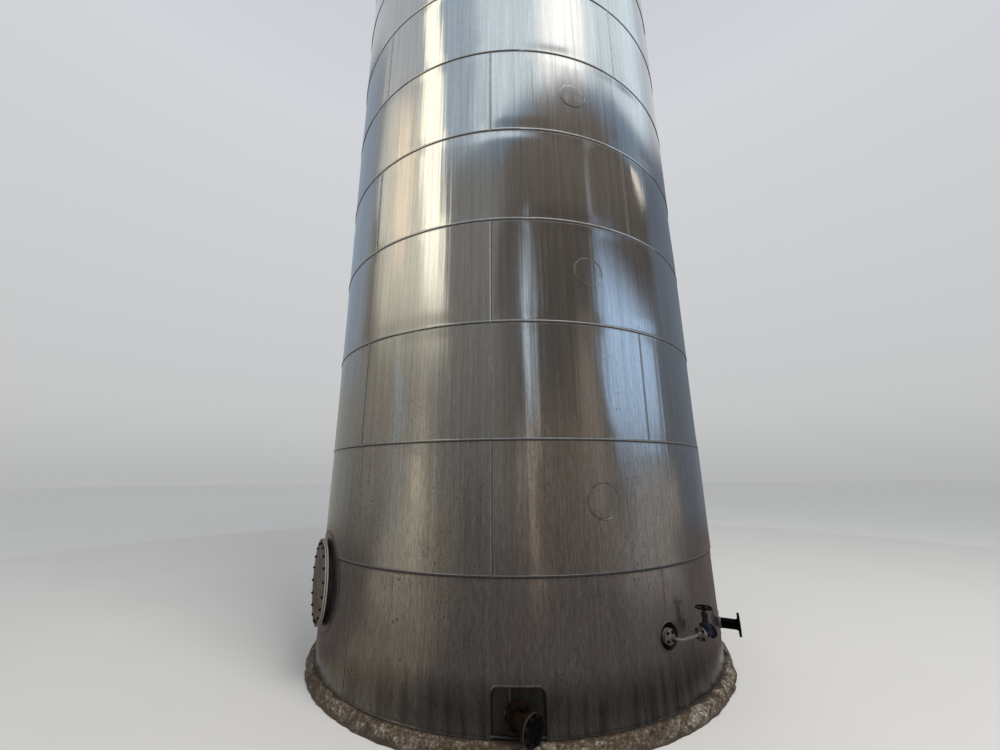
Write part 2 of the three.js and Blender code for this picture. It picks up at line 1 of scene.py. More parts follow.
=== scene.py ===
"""Looks of an insulated vertical storage tank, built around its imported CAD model.

Metres, +Z up, in the CAD model's frame. Angles around the tank are in degrees from -Y towards +X.
A fitting's own frame has +X outwards, +Y to the right and +Z up, with its origin on the cladding.
"""

import math
import random

import bmesh
import bpy
import numpy as np
from mathutils import Matrix, Vector, noise


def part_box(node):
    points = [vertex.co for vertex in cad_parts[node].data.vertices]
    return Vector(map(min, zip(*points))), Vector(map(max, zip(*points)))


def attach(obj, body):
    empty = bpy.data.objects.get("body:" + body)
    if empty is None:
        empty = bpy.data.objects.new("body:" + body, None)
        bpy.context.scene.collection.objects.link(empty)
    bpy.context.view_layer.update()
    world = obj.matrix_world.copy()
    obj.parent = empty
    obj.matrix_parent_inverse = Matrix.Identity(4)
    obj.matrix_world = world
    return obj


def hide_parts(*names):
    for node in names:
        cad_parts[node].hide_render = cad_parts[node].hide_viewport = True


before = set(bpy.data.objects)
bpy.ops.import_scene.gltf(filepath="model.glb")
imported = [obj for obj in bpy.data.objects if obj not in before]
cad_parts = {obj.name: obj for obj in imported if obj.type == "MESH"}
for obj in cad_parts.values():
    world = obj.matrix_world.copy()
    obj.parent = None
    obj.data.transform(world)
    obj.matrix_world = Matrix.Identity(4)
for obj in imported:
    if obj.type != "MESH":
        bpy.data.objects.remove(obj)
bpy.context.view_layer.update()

# Driving dimensions

RADIUS = 2.137          # outside of the cladding, as in the CAD model
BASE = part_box("foundation")[1].z
COURSE = 0.975
COURSES = 10
TOP = BASE + COURSES * COURSE
SHEETS = 5              # sheets around each course
SEAMS = (-39.5, -4.5)   # one vertical seam of the odd and of the even courses
SHEET_BACK = -0.0008    # inner face of the cladding, from RADIUS
SHEET_OUT = 0.0062      # mean place of a sheet's face: sheets bulge a little over the insulation
BULGE_LIMIT = 0.0052
SHINGLE = 0.0020        # how much further out a sheet's lower edge is than its upper edge

ROOF_SLOPE = math.tan(math.radians(10))
RIM_TOP = 9.880
RIM_INNER = 2.060
RIM_OUTER = 2.152
VENT_TOP = 10.460
RAIL_RADIUS = 2.102
RAIL_LEVELS = (0.450, 0.950)
RAIL_SECTIONS = 4
POSTS = 12

CAP_ANGLES = (18.8, 18.7, 17.4, 18.3, 18.3)
CAP_FIRST = 1.525       # in courses above the base
CAP_SPACING = 1.985

MANWAY = (-57.5, 0.832)  # angle and height of each fitting
OUTLET = (0.15, 0.235)
SAMPLING = (32.4, 0.598)
PROCESS = (66.0, 0.400)
VALVE_PLACE = (0.110, 0.2453, 0.0)  # its inlet face, in the sampling point's frame
VALVE_MIDDLE = 0.065
OUTLET_TURN = math.radians(43)

OUT = Matrix.Rotation(math.pi / 2, 4, "Y")  # sends +Z outwards, to +X
IN = Matrix.Rotation(-math.pi / 2, 4, "Y")


# Placing things

def wall_frame(place, out=0.0):
    """The frame of a fitting: +X outwards, +Y to the right, +Z up."""
    turn = math.radians(place[0])
    outward = Vector((math.sin(turn), -math.cos(turn), 0))
    right = Vector((math.cos(turn), math.sin(turn), 0))
    matrix = Matrix((outward, right, Vector((0, 0, 1)))).transposed().to_4x4()
    matrix.translation = outward * (RADIUS + out) + Vector((0, 0, place[1]))
    return matrix


def shift(x, y, z):
    return Matrix.Translation((x, y, z))


def turned(turn, axis="Z"):
    return Matrix.Rotation(turn, 4, axis)


def smoothstep(low, high, value):
    t = np.clip((value - low) / (high - low), 0, 1)
    return t * t * (3 - 2 * t)


# The uneven face of the cladding

def sheet_waves(course, sheet):
    """(height, waves along the sheet, waves up it, phase) of one sheet's gentle bulges."""
    draw = random.Random(101 * course + 7 * sheet + 3)
    sizes = ((0.0044, 1.0), (0.0021, 2.3), (0.0010, 4.9), (0.00040, 10.5), (0.00014, 23.0))
    return [(size * draw.uniform(0.6, 1.3), waves * draw.uniform(0.8, 1.25),
             draw.uniform(-0.6, 0.6), draw.uniform(0, 2 * math.pi)) for size, waves in sizes]


def ring_wave(ring, turn):
    """How far the joint between two courses stands out of round."""
    return 0.0009 * np.sin(3 * turn + 1.7 * ring) + 0.0005 * np.sin(7 * turn + 2.9 * ring)


def wall_shape(turn, height):
    """How far the cladding stands out from RADIUS, at angles in radians and heights."""
    turn, height = np.broadcast_arrays(np.asarray(turn, float), np.asarray(height, float))
    course = np.clip(np.floor((height - BASE) / COURSE), 0, COURSES - 1).astype(int)
    up = np.clip((height - BASE) / COURSE - course, 0, 1)
    seam = np.radians(np.where(course % 2 == 0, SEAMS[0], SEAMS[1]))
    along = ((turn - seam) / (2 * math.pi) * SHEETS) % SHEETS
    sheet = along.astype(int) % SHEETS
    along = along - np.floor(along)
    bulge = np.zeros(turn.shape)
    for c in np.unique(course):
        for s in range(SHEETS):
            here = (course == c) & (sheet == s)
            for size, waves, lean, phase in sheet_waves(int(c), s):
                angle = 2 * math.pi * (waves * along[here] + lean * up[here]) + phase
                bulge[here] += size * np.sin(angle)
    free = smoothstep(0, 0.05, along) * smoothstep(0, 0.05, 1 - along)
    free = free * smoothstep(0, 0.16, up) * smoothstep(0, 0.12, 1 - up)
    rings = (1 - up) * ring_wave(course, turn) + up * ring_wave(course + 1, turn)
    bulge = BULGE_LIMIT * np.tanh(bulge / BULGE_LIMIT)
    return SHEET_OUT + SHINGLE * (0.5 - up) + rings + free * bulge


def on_wall(part, place):
    """Lays a part made in (right, up, out) on the cladding around a fitting's place."""
    points = np.array([tuple(v) for v in part[0]])
    turn = math.radians(place[0]) + points[:, 0] / RADIUS
    height = place[1] + points[:, 1]
    radius = RADIUS + points[:, 2] + wall_shape(turn, height)
    laid = np.stack([radius * np.sin(turn), -radius * np.cos(turn), height], axis=1)
    return [Vector(v) for v in laid], part[1]


# Mesh parts, as (vertices, faces)

def polar(radius, turn, height):
    return radius * math.cos(turn), radius * math.sin(turn), height


def net(rows, columns, rows_meet=False, columns_meet=True):
    """Faces over rows of points. The last row, and the last column, may meet the first one again."""
    faces = []
    for row in range(rows if rows_meet else rows - 1):
        a = row * columns
        b = (row + 1) % rows * columns
        for c in range(columns if columns_meet else columns - 1):
            d = (c + 1) % columns
            faces.append((a + c, a + d, b + d, b + c))
    return faces


def rounded(profile, radius, steps=3, closed=False):
    """A profile with its corners rounded."""
    points = [Vector(p) for p in profile]
    count = len(points)
    result = []
    for i, here in enumerate(points):
        if not closed and i in (0, count - 1):
            result.append(tuple(here))
            continue
        before = points[i - 1] - here
        after = points[(i + 1) % count] - here
        reach = min(radius, before.length * 0.45, after.length * 0.45)
        start = here + before.normalized() * reach
        end = here + after.normalized() * reach
        for step in range(steps + 1):
            t = step / steps
            result.append(tuple((1 - t) ** 2 * start + 2 * t * (1 - t) * here + t * t * end))
    return result


def lathe(profile, steps, closed=False, edge=None):
    """A (radius, height) profile turned around +Z. An open one starts and ends on the axis.

    An edge is the (radius, steps) that rounds its corners.
    """
    if edge:
        profile = rounded(profile, *edge, closed)
    verts = [polar(r, 2 * math.pi * i / steps, h) for i in range(steps) for r, h in profile]
    return verts, net(steps, len(profile), True, closed)


def rod(radius, low, high, steps, edge=None):
    """A solid cylinder around +Z."""
    return lathe([(0, low), (radius, low), (radius, high), (0, high)], steps, edge=edge)


def ring(inner, outer, low, high, steps):
    """A flat ring around +Z."""
    return lathe([(inner, low), (outer, low), (outer, high), (inner, high)], steps, closed=True)


def circle(radius, sides):
    return [polar(radius, 2 * math.pi * i / sides, 0)[:2] for i in range(sides)]


def sweep(points, section, closed=False):
    """A flat section carried along a path, without twist, with flat ends."""
    points = [Vector(p) for p in points]
    count = len(points)
    tangents = []
    for i in range(count):
        before = points[i - 1] if closed or i else points[0]
        after = points[(i + 1) % count] if closed or i < count - 1 else points[-1]
        tangents.append((after - before).normalized())
    side = tangents[0].orthogonal().normalized()
    verts = []
    for point, tangent in zip(points, tangents):
        side = (side - tangent * side.dot(tangent)).normalized()
        other = tangent.cross(side)
        verts += [point + side * a + other * b for a, b in section]
    size = len(section)
    faces = net(count, size, closed)
    if not closed:
        faces.append(tuple(reversed(range(size))))
        faces.append(tuple((count - 1) * size + j for j in range(size)))
    return verts, faces


def tube(points, radius, sides=16, closed=False):
    return sweep(points, circle(radius, sides), closed)


def level_arc(radius, height, steps, start, end):
    """Points on a level arc around the tank's axis."""
    return [polar(radius, start + (end - start) * i / steps, height) for i in range(steps + 1)]


def prism(outline, low, high):
    """A flat outline made solid between two levels."""
    count = len(outline)
    verts = [(x, y, z) for z in (low, high) for x, y in outline]
    caps = [tuple(reversed(range(count))), tuple(range(count, 2 * count))]
    return verts, caps + net(2, count)


def bar(size, edge=0.001):
    """A block with softened upright edges, centred on the origin."""
    x, y, z = (s / 2 for s in size)
    return prism(rounded([(-x, -y), (x, -y), (x, y), (-x, y)], edge, 2, closed=True), -z, z)


class Shape:
    """A mesh under construction."""

    def __init__(self):
        self.verts = []
        self.faces = []

    def add(self, part, place=None):
        start = len(self.verts)
        verts, faces = part
        self.verts += [Vector(v) if place is None else place @ Vector(v) for v in verts]
        self.faces += [tuple(start + i for i in face) for face in faces]
        return self

    def around(self, part, count, radius, place, start=0.0):
        """Copies of a part on a circle around the +X of a place."""
        for i in range(count):
            turn = start + 2 * math.pi * i / count
            self.add(part, place @ turned(turn, "X") @ shift(0, 0, radius))
        return self

    def mesh(self, name):
        mesh = bpy.data.meshes.new(name)
        mesh.from_pydata([tuple(v) for v in self.verts], [], self.faces)
        work = bmesh.new()
        work.from_mesh(mesh)
        bmesh.ops.remove_doubles(work, verts=work.verts, dist=1e-6)
        bmesh.ops.dissolve_degenerate(work, edges=work.edges, dist=1e-7)
        bmesh.ops.recalc_face_normals(work, faces=work.faces)
        work.to_mesh(mesh)
        work.free()
        return mesh


def into_scene(name, data):
    """A new object in the scene."""
    thing = bpy.data.objects.new(name, data)
    bpy.context.scene.collection.objects.link(thing)
    return thing


def settle(thing):
    """Applies an object's modifiers to its mesh."""
    graph = bpy.context.evaluated_depsgraph_get()
    done = bpy.data.meshes.new_from_object(thing.evaluated_get(graph))
    thing.modifiers.clear()
    thing.data = done


def cast(shape, name, voxel, smooth):
    """Melts a shape's parts into one body with the soft corners of a casting."""
    thing = into_scene(name, shape.mesh(name))
    remesh = thing.modifiers.new("melt", "REMESH")
    remesh.mode = "VOXEL"
    remesh.voxel_size = voxel
    soften = thing.modifiers.new("soften", "SMOOTH")
    soften.factor = 0.5
    soften.iterations = smooth
    settle(thing)
    return thing


def pierce(thing, cutters):
    """Cuts shapes out of a piece."""
    tools = []
    for number, cutter in enumerate(cutters):
        tool = into_scene(f"cutter_{number}", cutter.mesh(f"cutter_{number}"))
        cut = thing.modifiers.new("cut", "BOOLEAN")
        cut.operation = "DIFFERENCE"
        cut.solver = "EXACT"
        cut.object = tool
        tools.append(tool)
    settle(thing)
    for tool in tools:
        bpy.data.objects.remove(tool)


def finish_piece(thing, slot, node=None, body="tank", sharp=32.0, material=None):
    """Shades a piece, gives it its finish, hangs it on the empty of its body and hides the CAD node that it
    takes the place of.
    """
    mesh = thing.data
    mesh.shade_smooth()
    mesh.set_sharp_from_angle(angle=math.radians(sharp))
    mesh.materials.clear()
    mesh.materials.append(MATERIALS[material or slot])
    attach(thing, body)
    if node:
        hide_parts(node)
    return thing


def piece(name, shape, slot, node=None, place=None, **options):
    """A finished piece from a shape, or from a single part and its place."""
    if not isinstance(shape, Shape):
        shape = Shape().add(shape, place)
    return finish_piece(into_scene(name, shape.mesh(name)), slot, node, **options)


def set_values(mesh, name, values):
    """Keeps one number per point of a mesh, for its material."""
    mesh.attributes.new(name, "FLOAT", "POINT").data.foreach_set("value", values)


def mark_bands(thing, measures, dark_bands, rubbed_and_highlit):
    """Darkening and brightening where the measure of a point lies in a band, each as (from, to, amount):
    dirt and rub, and in places painted shade and painted highlight.
    """
    for name, bands in (("edge_dirt_and_shade", dark_bands), ("rubbed_and_highlit", rubbed_and_highlit)):
        values = np.zeros(len(measures))
        for low, high, amount in bands:
            values = np.maximum(values, amount * (measures > low) * (measures < high))
        set_values(thing.data, name, values)


def mark_rings(thing, centre, dark_bands=(), rubbed_and_highlit=()):
    """Darkening and brightening along rings around a centre: dirt and rub, and in places painted shade and
    painted highlight.
    """
    mark_bands(thing, np.array([(v.co - centre).length for v in thing.data.vertices]), dark_bands, rubbed_and_highlit)


def mark_strips(thing, place, dark_bands=(), rubbed_and_highlit=()):
    """Darkening and brightening along upright strips, measured to the right in a fitting's frame: dirt and
    rub, and in places painted shade and painted highlight.
    """
    to_local = place.inverted()
    mark_bands(thing, np.array([(to_local @ v.co).y for v in thing.data.vertices]), dark_bands, rubbed_and_highlit)


# Writing materials

class Field:
    """A value or colour of a material, which can be written in sums and products."""

    def __init__(self, graph, socket):
        self.graph = graph
        self.socket = socket

    def __add__(self, other):
        return self.graph.math("ADD", self, other)

    def __mul__(self, other):
        return self.graph.math("MULTIPLY", self, other)

    def __sub__(self, other):
        return self.graph.math("SUBTRACT", self, other)

    def __rsub__(self, other):
        return self.graph.math("SUBTRACT", other, self)


class Graph:
    """A short way to write a material's nodes."""

    def __init__(self, name):
        self.material = bpy.data.materials.new(name)
        self.material.use_nodes = True
        self.nodes = self.material.node_tree.nodes
        self.links = self.material.node_tree.links
        self.nodes.clear()
        self.place = self.field("ShaderNodeTexCoord", output="Object")

    def node(self, kind, inputs=None, **settings):
        node = self.nodes.new(kind)
        for key, value in settings.items():
            setattr(node, key, value)
        for key, value in (inputs or {}).items():
            if isinstance(value, Field):
                self.links.new(value.socket, node.inputs[key])
            else:
                node.inputs[key].default_value = value
        return node

    def field(self, kind, inputs=None, output=0, **settings):
        return Field(self, self.node(kind, inputs, **settings).outputs[output])

    def stretched(self, scale):
        return self.field("ShaderNodeMapping", {"Vector": self.place, "Scale": scale}, "Vector")

    def noise(self, scale, detail=4.0, rough=0.55, warp=0.0):
        """Cloudy noise, in object coordinates stretched by a scale."""
        inputs = {"Vector": self.stretched(scale), "Scale": 1.0, "Detail": detail, "Roughness": rough,
                  "Distortion": warp}
        return self.field("ShaderNodeTexNoise", inputs, "Fac")

    def cells(self, scale, **settings):
        """Cells around random centres, in object coordinates stretched by a scale."""
        return self.node("ShaderNodeTexVoronoi", {"Vector": self.stretched(scale), "Scale": 1.0}, **settings)

    def chance(self, cells, channel):
        """One random number in each cell."""
        colour = Field(self, cells.outputs["Color"])
        return self.field("ShaderNodeSeparateColor", {"Color": colour}, channel)

    def spots(self, scale, radius, soft, share):
        """Round spots, one in some of the cells of a grid with random centres."""
        cells = self.cells(scale)
        near = self.range(Field(self, cells.outputs["Distance"]), radius, radius + soft, 1.0, 0.0)
        return near * self.math("LESS_THAN", self.chance(cells, "Red"), share)

    def math(self, kind, a, b=0.0):
        return self.field("ShaderNodeMath", {0: a, 1: b}, operation=kind)

    def most(self, first, *others):
        """The largest of some values."""
        for other in others:
            first = self.math("MAXIMUM", first, other)
        return first

    def range(self, value, low, high, to_low=0.0, to_high=1.0):
        inputs = {"Value": value, "From Min": low, "From Max": high, "To Min": to_low, "To Max": to_high}
        return self.field("ShaderNodeMapRange", inputs, "Result", interpolation_type="SMOOTHSTEP")

    def ramp(self, value, stops):
        node = self.node("ShaderNodeValToRGB", {"Fac": value})
        set_stops(node, stops)
        return Field(self, node.outputs["Color"])

    def mix(self, amount, a, b):
        """One colour going over into another."""
        colours = [c if isinstance(c, Field) else (*c, 1) for c in (a, b)]
        return self.field("ShaderNodeMix", {0: amount, 6: colours[0], 7: colours[1]}, 2, data_type="RGBA")

    def lerp(self, amount, a, b):
        return self.field("ShaderNodeMix", {0: amount, 2: a, 3: b}, data_type="FLOAT")

    def attribute(self, name):
        return self.field("ShaderNodeAttribute", output="Fac", attribute_name=name)

    def along(self, axis, vector=None):
        """How far a vector, or else the place in object coordinates, goes along an axis."""
        return self.field("ShaderNodeSeparateXYZ", {"Vector": vector or self.place}, axis)

    def facing_up(self):
        return self.along("Z", self.field("ShaderNodeNewGeometry", output="Normal"))

    def bump(self, height, distance, strength=1.0, normal=None):
        inputs = {"Height": height, "Distance": distance, "Strength": strength}
        if normal is not None:
            inputs["Normal"] = normal
        return self.field("ShaderNodeBump", inputs, "Normal")

    def finish(self, inputs):
        shader = self.field("ShaderNodeBsdfPrincipled", inputs, "BSDF")
        self.node("ShaderNodeOutputMaterial", {"Surface": shader})
        return self.material


def set_stops(ramp, stops):
    """Gives a colour ramp its (place, colour) stops."""
    elements = ramp.color_ramp.elements
    while len(elements) < len(stops):
        elements.new(0.5)
    for element, (place, colour) in zip(elements, stops):
        element.position = place
        element.color = (*colour, 1)


def shade(colour, factor):
    """A colour times one factor, or times one for each channel."""
    return np.multiply(colour, factor).tolist()


def dirt_and_shade_film(g, height, low, bands, broad):
    """How much dirt and painted shade cover the sheet: more downwards, in runs, and heaviest at the foot,
    where the darkening is partly painted shade of the lower courses.
    """
    rubbed_and_highlit = g.attribute("rubbed_and_highlit")
    runs = g.range(bands + low * 0.34, 0.54, 0.92) * g.range(broad, 0.25, 0.75, 0.5, 1.0)
    narrow = g.range(g.noise((95, 95, 1.6), detail=3, rough=0.6), 0.46, 0.74)
    narrow = narrow * g.range(low, 0.0, 1.0, 0.10, 0.75)
    film = g.most(low * 0.60, runs * 0.70, narrow * 0.75) * (1.0 - rubbed_and_highlit * 0.75)
    patches = g.noise((15, 15, 1.3), detail=3, rough=0.6)
    # The foot's near-black darkening is dirt and partly painted shade, a little lighter towards -X.
    foot = g.range(height, 0.24, 0.90, 0.95, 0.0) * g.range(patches, 0.30, 0.70, 0.86, 1.0)
    foot = foot * (1.0 - rubbed_and_highlit * 0.6) * g.range(g.along("X"), -1.7, 0.0, 0.87, 1.0)
    return g.most(film, foot), foot


def dark_marks(g, height, low, broad):
    """Runs that start under a joint, elongated spatter, and fine spots."""
    up = g.math("FRACT", g.math("DIVIDE", height - BASE, COURSE))
    reach = 1.0 - g.noise((31, 31, 0.2), detail=2) * 0.55
    runs = g.range(g.noise((70, 70, 0.7), detail=3), 0.56, 0.68) * g.range(up - reach, 0.0, 0.25)
    runs = runs * g.range(low, 0.0, 0.9, 0.2, 0.9)
    area = g.range(g.noise((1.9, 1.9, 1.4), detail=2), 0.46, 0.62, 0.12, 1.0)
    first = g.range(height, 0.45, 0.95) * g.math("LESS_THAN", height, BASE + COURSE)
    area = g.most(area, first * g.range(broad, 0.32, 0.48))
    long_spots = g.spots((48, 48, 18), 0.17, 0.08, 0.46) * area
    short_spots = g.spots((120, 120, 50), 0.22, 0.14, 0.38) * area
    spatter = g.most(long_spots * 0.9, short_spots * 0.65) * g.range(low, 0.15, 0.9, 0.06, 1.0)
    wide = g.spots((27, 27, 21), 0.16, 0.07, 0.28) * g.range(broad, 0.38, 0.52)
    return g.most(runs * 0.62, spatter, wide * 0.85 * low, g.attribute("edge_dirt_and_shade"))


def rolled_steel(name, clean, film, foot_dirt_and_shade, dirt_and_shade_top, rough):
    """Stainless sheet with run-down streaks, water spots and a dark film that thickens downwards: dirt, and
    partly painted shade on the lower courses.
    """
    g = Graph(name)
    height = g.along("Z")
    low = g.range(height, 0.0, dirt_and_shade_top, 1.0, 0.0)
    broad = g.noise((2.6, 2.6, 0.35), detail=4)
    bands = g.noise((17, 17, 0.3), detail=5, rough=0.65)
    dirt_and_shade_amount, foot = dirt_and_shade_film(g, height, low, bands, broad)
    marks = dark_marks(g, height, low, broad)

    long_grain = g.range(g.noise((150, 150, 0.9), detail=2), 0.3, 0.7)
    short_grain = g.range(g.noise((130, 130, 12), detail=3, rough=0.7), 0.60, 0.40)
    streaks = g.range(g.noise((36, 36, 0.45), detail=4, rough=0.7), 0.40, 0.66, 0.0, 0.34)
    colour = g.mix(long_grain, shade(clean, 0.86), clean)
    colour = g.mix(short_grain * g.range(low, 0.0, 1.0, 0.26, 0.95), colour, shade(clean, 0.58))
    colour = g.mix(g.attribute("sheet_tone") * 0.25, colour, shade(clean, 0.72))
    colour = g.mix(streaks, colour, shade(clean, (0.52, 0.49, 0.45)))
    film_tone = g.range(g.noise((60, 60, 3), detail=5), 0.35, 0.65)
    film_colour = g.mix(foot, g.mix(film_tone, shade(film, 0.48), shade(film, 1.15)), foot_dirt_and_shade)
    colour = g.mix(dirt_and_shade_amount, colour, film_colour)
    colour = g.mix(marks * 0.92, colour, (0.010, 0.008, 0.007))

    dull = g.most(dirt_and_shade_amount * 0.24, marks * 0.9)
    roughness = g.range(bands, 0.3, 0.8) * 0.06 + rough + g.most(dirt_and_shade_amount, marks) * 0.13
    normal = None
    for scale, depth in (((42, 42, 0.6), 0.0008), ((15, 15, 0.4), 0.0018), ((6, 6, 0.7), 0.0028)):
        normal = g.bump(g.noise(scale, detail=1), depth, 0.5, normal)
    tangent = g.field("ShaderNodeTangent", output="Tangent", direction_type="RADIAL", axis="Z")
    return g.finish({"Base Color": colour, "Metallic": 1.0 - dull * 0.85,
                     "Roughness": roughness * g.range(height, 3.4, 4.9, 1.0, 0.64),
                     "Anisotropic": 0.6, "Anisotropic Rotation": 0.25,
                     "Specular IOR Level": 0.12, "Tangent": tangent, "Normal": normal})


def mill_steel():
    g = Graph("vessel_steel")
    cloud = g.noise((3, 3, 1), detail=5)
    colour = g.ramp(cloud, ((0.3, (0.30, 0.30, 0.30)), (0.7, (0.42, 0.42, 0.41))))
    return g.finish({"Base Color": colour, "Metallic": 0.9, "Roughness": g.range(cloud, 0.2, 0.8, 0.35, 0.6),
                     "Normal": g.bump(g.noise((40, 40, 4), detail=4), 0.0006, 0.4)})


def wool():
    g = Graph("mineral_wool")
    fibres = g.noise((90, 90, 260), detail=8, warp=0.6)
    clumps = g.noise((14, 14, 40), detail=4)
    colour = g.mix(clumps, (0.012, 0.009, 0.006), (0.045, 0.034, 0.021))
    colour = g.mix(g.range(fibres, 0.4, 0.75), colour, (0.075, 0.060, 0.040))
    return g.finish({"Base Color": colour, "Roughness": 0.95, "Normal": g.bump(fibres, 0.006, 0.9)})


def mortar():
    """Weathered mortar over concrete: pale crust, brown dirt in the hollows, damp at the foot, with dark
    gaps between lumps and a dark band against the cladding that are dirt and partly painted shade.
    """
    g = Graph("concrete")
    height = g.along("Z")
    grain = g.noise((60, 60, 60), detail=8, rough=0.7)
    patches = g.noise((7, 7, 10), detail=6, rough=0.65, warp=0.4)
    crust = g.noise((36, 36, 44), detail=8, rough=0.75, warp=0.3)
    edges = Field(g, g.cells((13, 13, 22), feature="DISTANCE_TO_EDGE").outputs["Distance"])
    gaps = g.range(edges, 0.0, 0.07, 1.0, 0.0) * g.range(patches, 0.50, 0.60)
    mixed = patches * 0.45 + crust * 0.55 + g.attribute("whitish") * 0.055
    colour = g.ramp(mixed, ((0.40, (0.030, 0.020, 0.012)), (0.50, (0.080, 0.057, 0.036)),
                            (0.57, (0.19, 0.150, 0.112)), (0.63, (0.48, 0.44, 0.38))))
    colour = g.mix(g.range(grain, 0.32, 0.52, 0.7, 0.0), colour, (0.032, 0.021, 0.013))
    # Dark gaps between lumps: dirt, and partly painted shade.
    colour = g.mix(gaps * 0.5, colour, (0.014, 0.010, 0.008))
    # A dark band along the top, against the cladding's foot: dirt, and partly painted shade.
    colour = g.mix(g.range(height, 0.0930, 0.0990, 0.0, 0.8), colour, (0.040, 0.027, 0.017))
    damp = g.range(height + patches * 0.05, 0.025, 0.085, 0.75, 0.0)
    colour = g.mix(damp, colour, (0.050, 0.037, 0.026))
    normal = g.bump(grain, 0.004, 0.9, g.bump(crust * 0.7 + gaps * -0.5, 0.02, 0.9))
    return g.finish({"Base Color": colour, "Roughness": g.lerp(damp, 0.92, 0.6), "Normal": normal})


def worn_metal(name, colours, rust, rust_from, metallic, rough, spangle=0.0, grimy=0.55, gloss=0.5,
               bare_and_highlight=None, rust_colours=((0.024, 0.012, 0.008), (0.080, 0.037, 0.020))):
    """Coated or bare metal with cloudy tone, rust patches, rust along upper ledges, grime, pale marked rims
    that are wear and partly painted highlight, and dark marked edges that are dirt and partly painted shade.
    """
    g = Graph(name)
    cloud = g.noise((16, 16, 12), detail=6, rough=0.6)
    grain = g.noise((160, 160, 120), detail=4)
    patch = g.noise((34, 34, 24), detail=8, rough=0.72, warp=0.5)
    colour = g.mix(g.range(cloud, 0.3, 0.7), *colours)
    if spangle:
        colour = g.mix(g.chance(g.cells((55, 55, 55)), "Green") * spangle, colour, shade(colours[0], 0.7))
    ledge = g.range(g.facing_up(), 0.2, 1.0, 0.0, 0.10)
    rusty = g.range(patch + ledge, rust_from, rust_from + 0.10)
    colour = g.mix(rusty * rust, colour, g.mix(g.range(grain, 0.35, 0.65), *rust_colours))
    grime = g.range(g.noise((9, 9, 5), detail=5), 0.45, 0.75, 0.0, grimy)
    colour = g.mix(grime, colour, (0.032, 0.026, 0.021))
    # Pale marked rims: worn bare metal, and partly painted highlight.
    colour = g.mix(g.attribute("rubbed_and_highlit") * 0.8, colour, bare_and_highlight or shade(colours[1], 2.3))
    # Dark marked edges: dirt, and partly painted shade.
    colour = g.mix(g.attribute("edge_dirt_and_shade"), colour, (0.008, 0.006, 0.005))
    dull = g.most(rusty * rust, grime)
    normal = g.bump(grain, 0.0006, 0.5, g.bump(patch + rusty, 0.0016, 0.5))
    return g.finish({"Base Color": colour, "Metallic": g.lerp(dull, metallic, 0.05 * metallic),
                     "Roughness": g.lerp(dull, rough, 0.88) + grain * 0.06,
                     "Specular IOR Level": gloss, "Normal": normal})


MATERIALS = {
    "cladding_steel": rolled_steel("cladding_steel", (0.64, 0.64, 0.63), (0.070, 0.055, 0.046),
                                   (0.017, 0.014, 0.0125), 4.6, 0.145),
    # The outlet's cover plates: grimy sheet darkened well below the cladding's own tone, partly painted
    # shade of the recess at the foot.
    "grimy_shaded_steel": rolled_steel("grimy_shaded_steel", (0.22, 0.225, 0.21), (0.050, 0.046, 0.040),
                                (0.018, 0.017, 0.015), 4.0, 0.30),
    "roof_steel": rolled_steel("roof_steel", (0.62, 0.62, 0.61), (0.30, 0.28, 0.25),
                               (0.2, 0.18, 0.16), 3.0, 0.34),
    "vessel_steel": mill_steel(),
    "mineral_wool": wool(),
    "concrete": mortar(),
    "galvanised_steel": worn_metal("galvanised_steel", ((0.36, 0.37, 0.38), (0.50, 0.51, 0.52)),
                                   0.7, 0.66, 0.85, 0.42, spangle=0.5),
    # The manway's off-white paint is darkened to a dirty grey-brown: grime, and partly painted shade.
    "off_white_paint": worn_metal("off_white_paint", ((0.042, 0.034, 0.030), (0.135, 0.114, 0.100)),
                                  0.85, 0.56, 0.0, 0.55, grimy=0.8, bare_and_highlight=(0.38, 0.34, 0.30)),
    # The outlet's rust is darkened almost to black: dark rust, and partly painted shade.
    "rusty_steel": worn_metal("rusty_steel", ((0.0025, 0.0014, 0.0011), (0.008, 0.0034, 0.0020)),
                              0.8, 0.50, 0.0, 0.5, grimy=0.12, gloss=0.1, bare_and_highlight=(0.30, 0.27, 0.24),
                              rust_colours=((0.0045, 0.0014, 0.0009), (0.022, 0.0070, 0.0034))),
    "black_rust": worn_metal("black_rust", ((0.004, 0.003, 0.0027), (0.010, 0.0068, 0.0055)),
                             0.2, 0.60, 0.0, 0.7, grimy=0.10, gloss=0.15),
    "black_steel": worn_metal("black_steel", ((0.0008, 0.0007, 0.0009), (0.0022, 0.0019, 0.0022)),
                              0.3, 0.70, 0.0, 0.50, grimy=0.03, gloss=0.05, bare_and_highlight=(0.085, 0.075, 0.072)),
    "pipe_steel": worn_metal("pipe_steel", ((0.20, 0.185, 0.155), (0.36, 0.34, 0.295)),
                             0.5, 0.66, 0.9, 0.38, grimy=0.75),
    "valve_paint": worn_metal("valve_paint", ((0.0025, 0.003, 0.007), (0.006, 0.008, 0.017)),
                              0.4, 0.70, 0.0, 0.40, grimy=0.2, gloss=0.35),
}


# Cladding

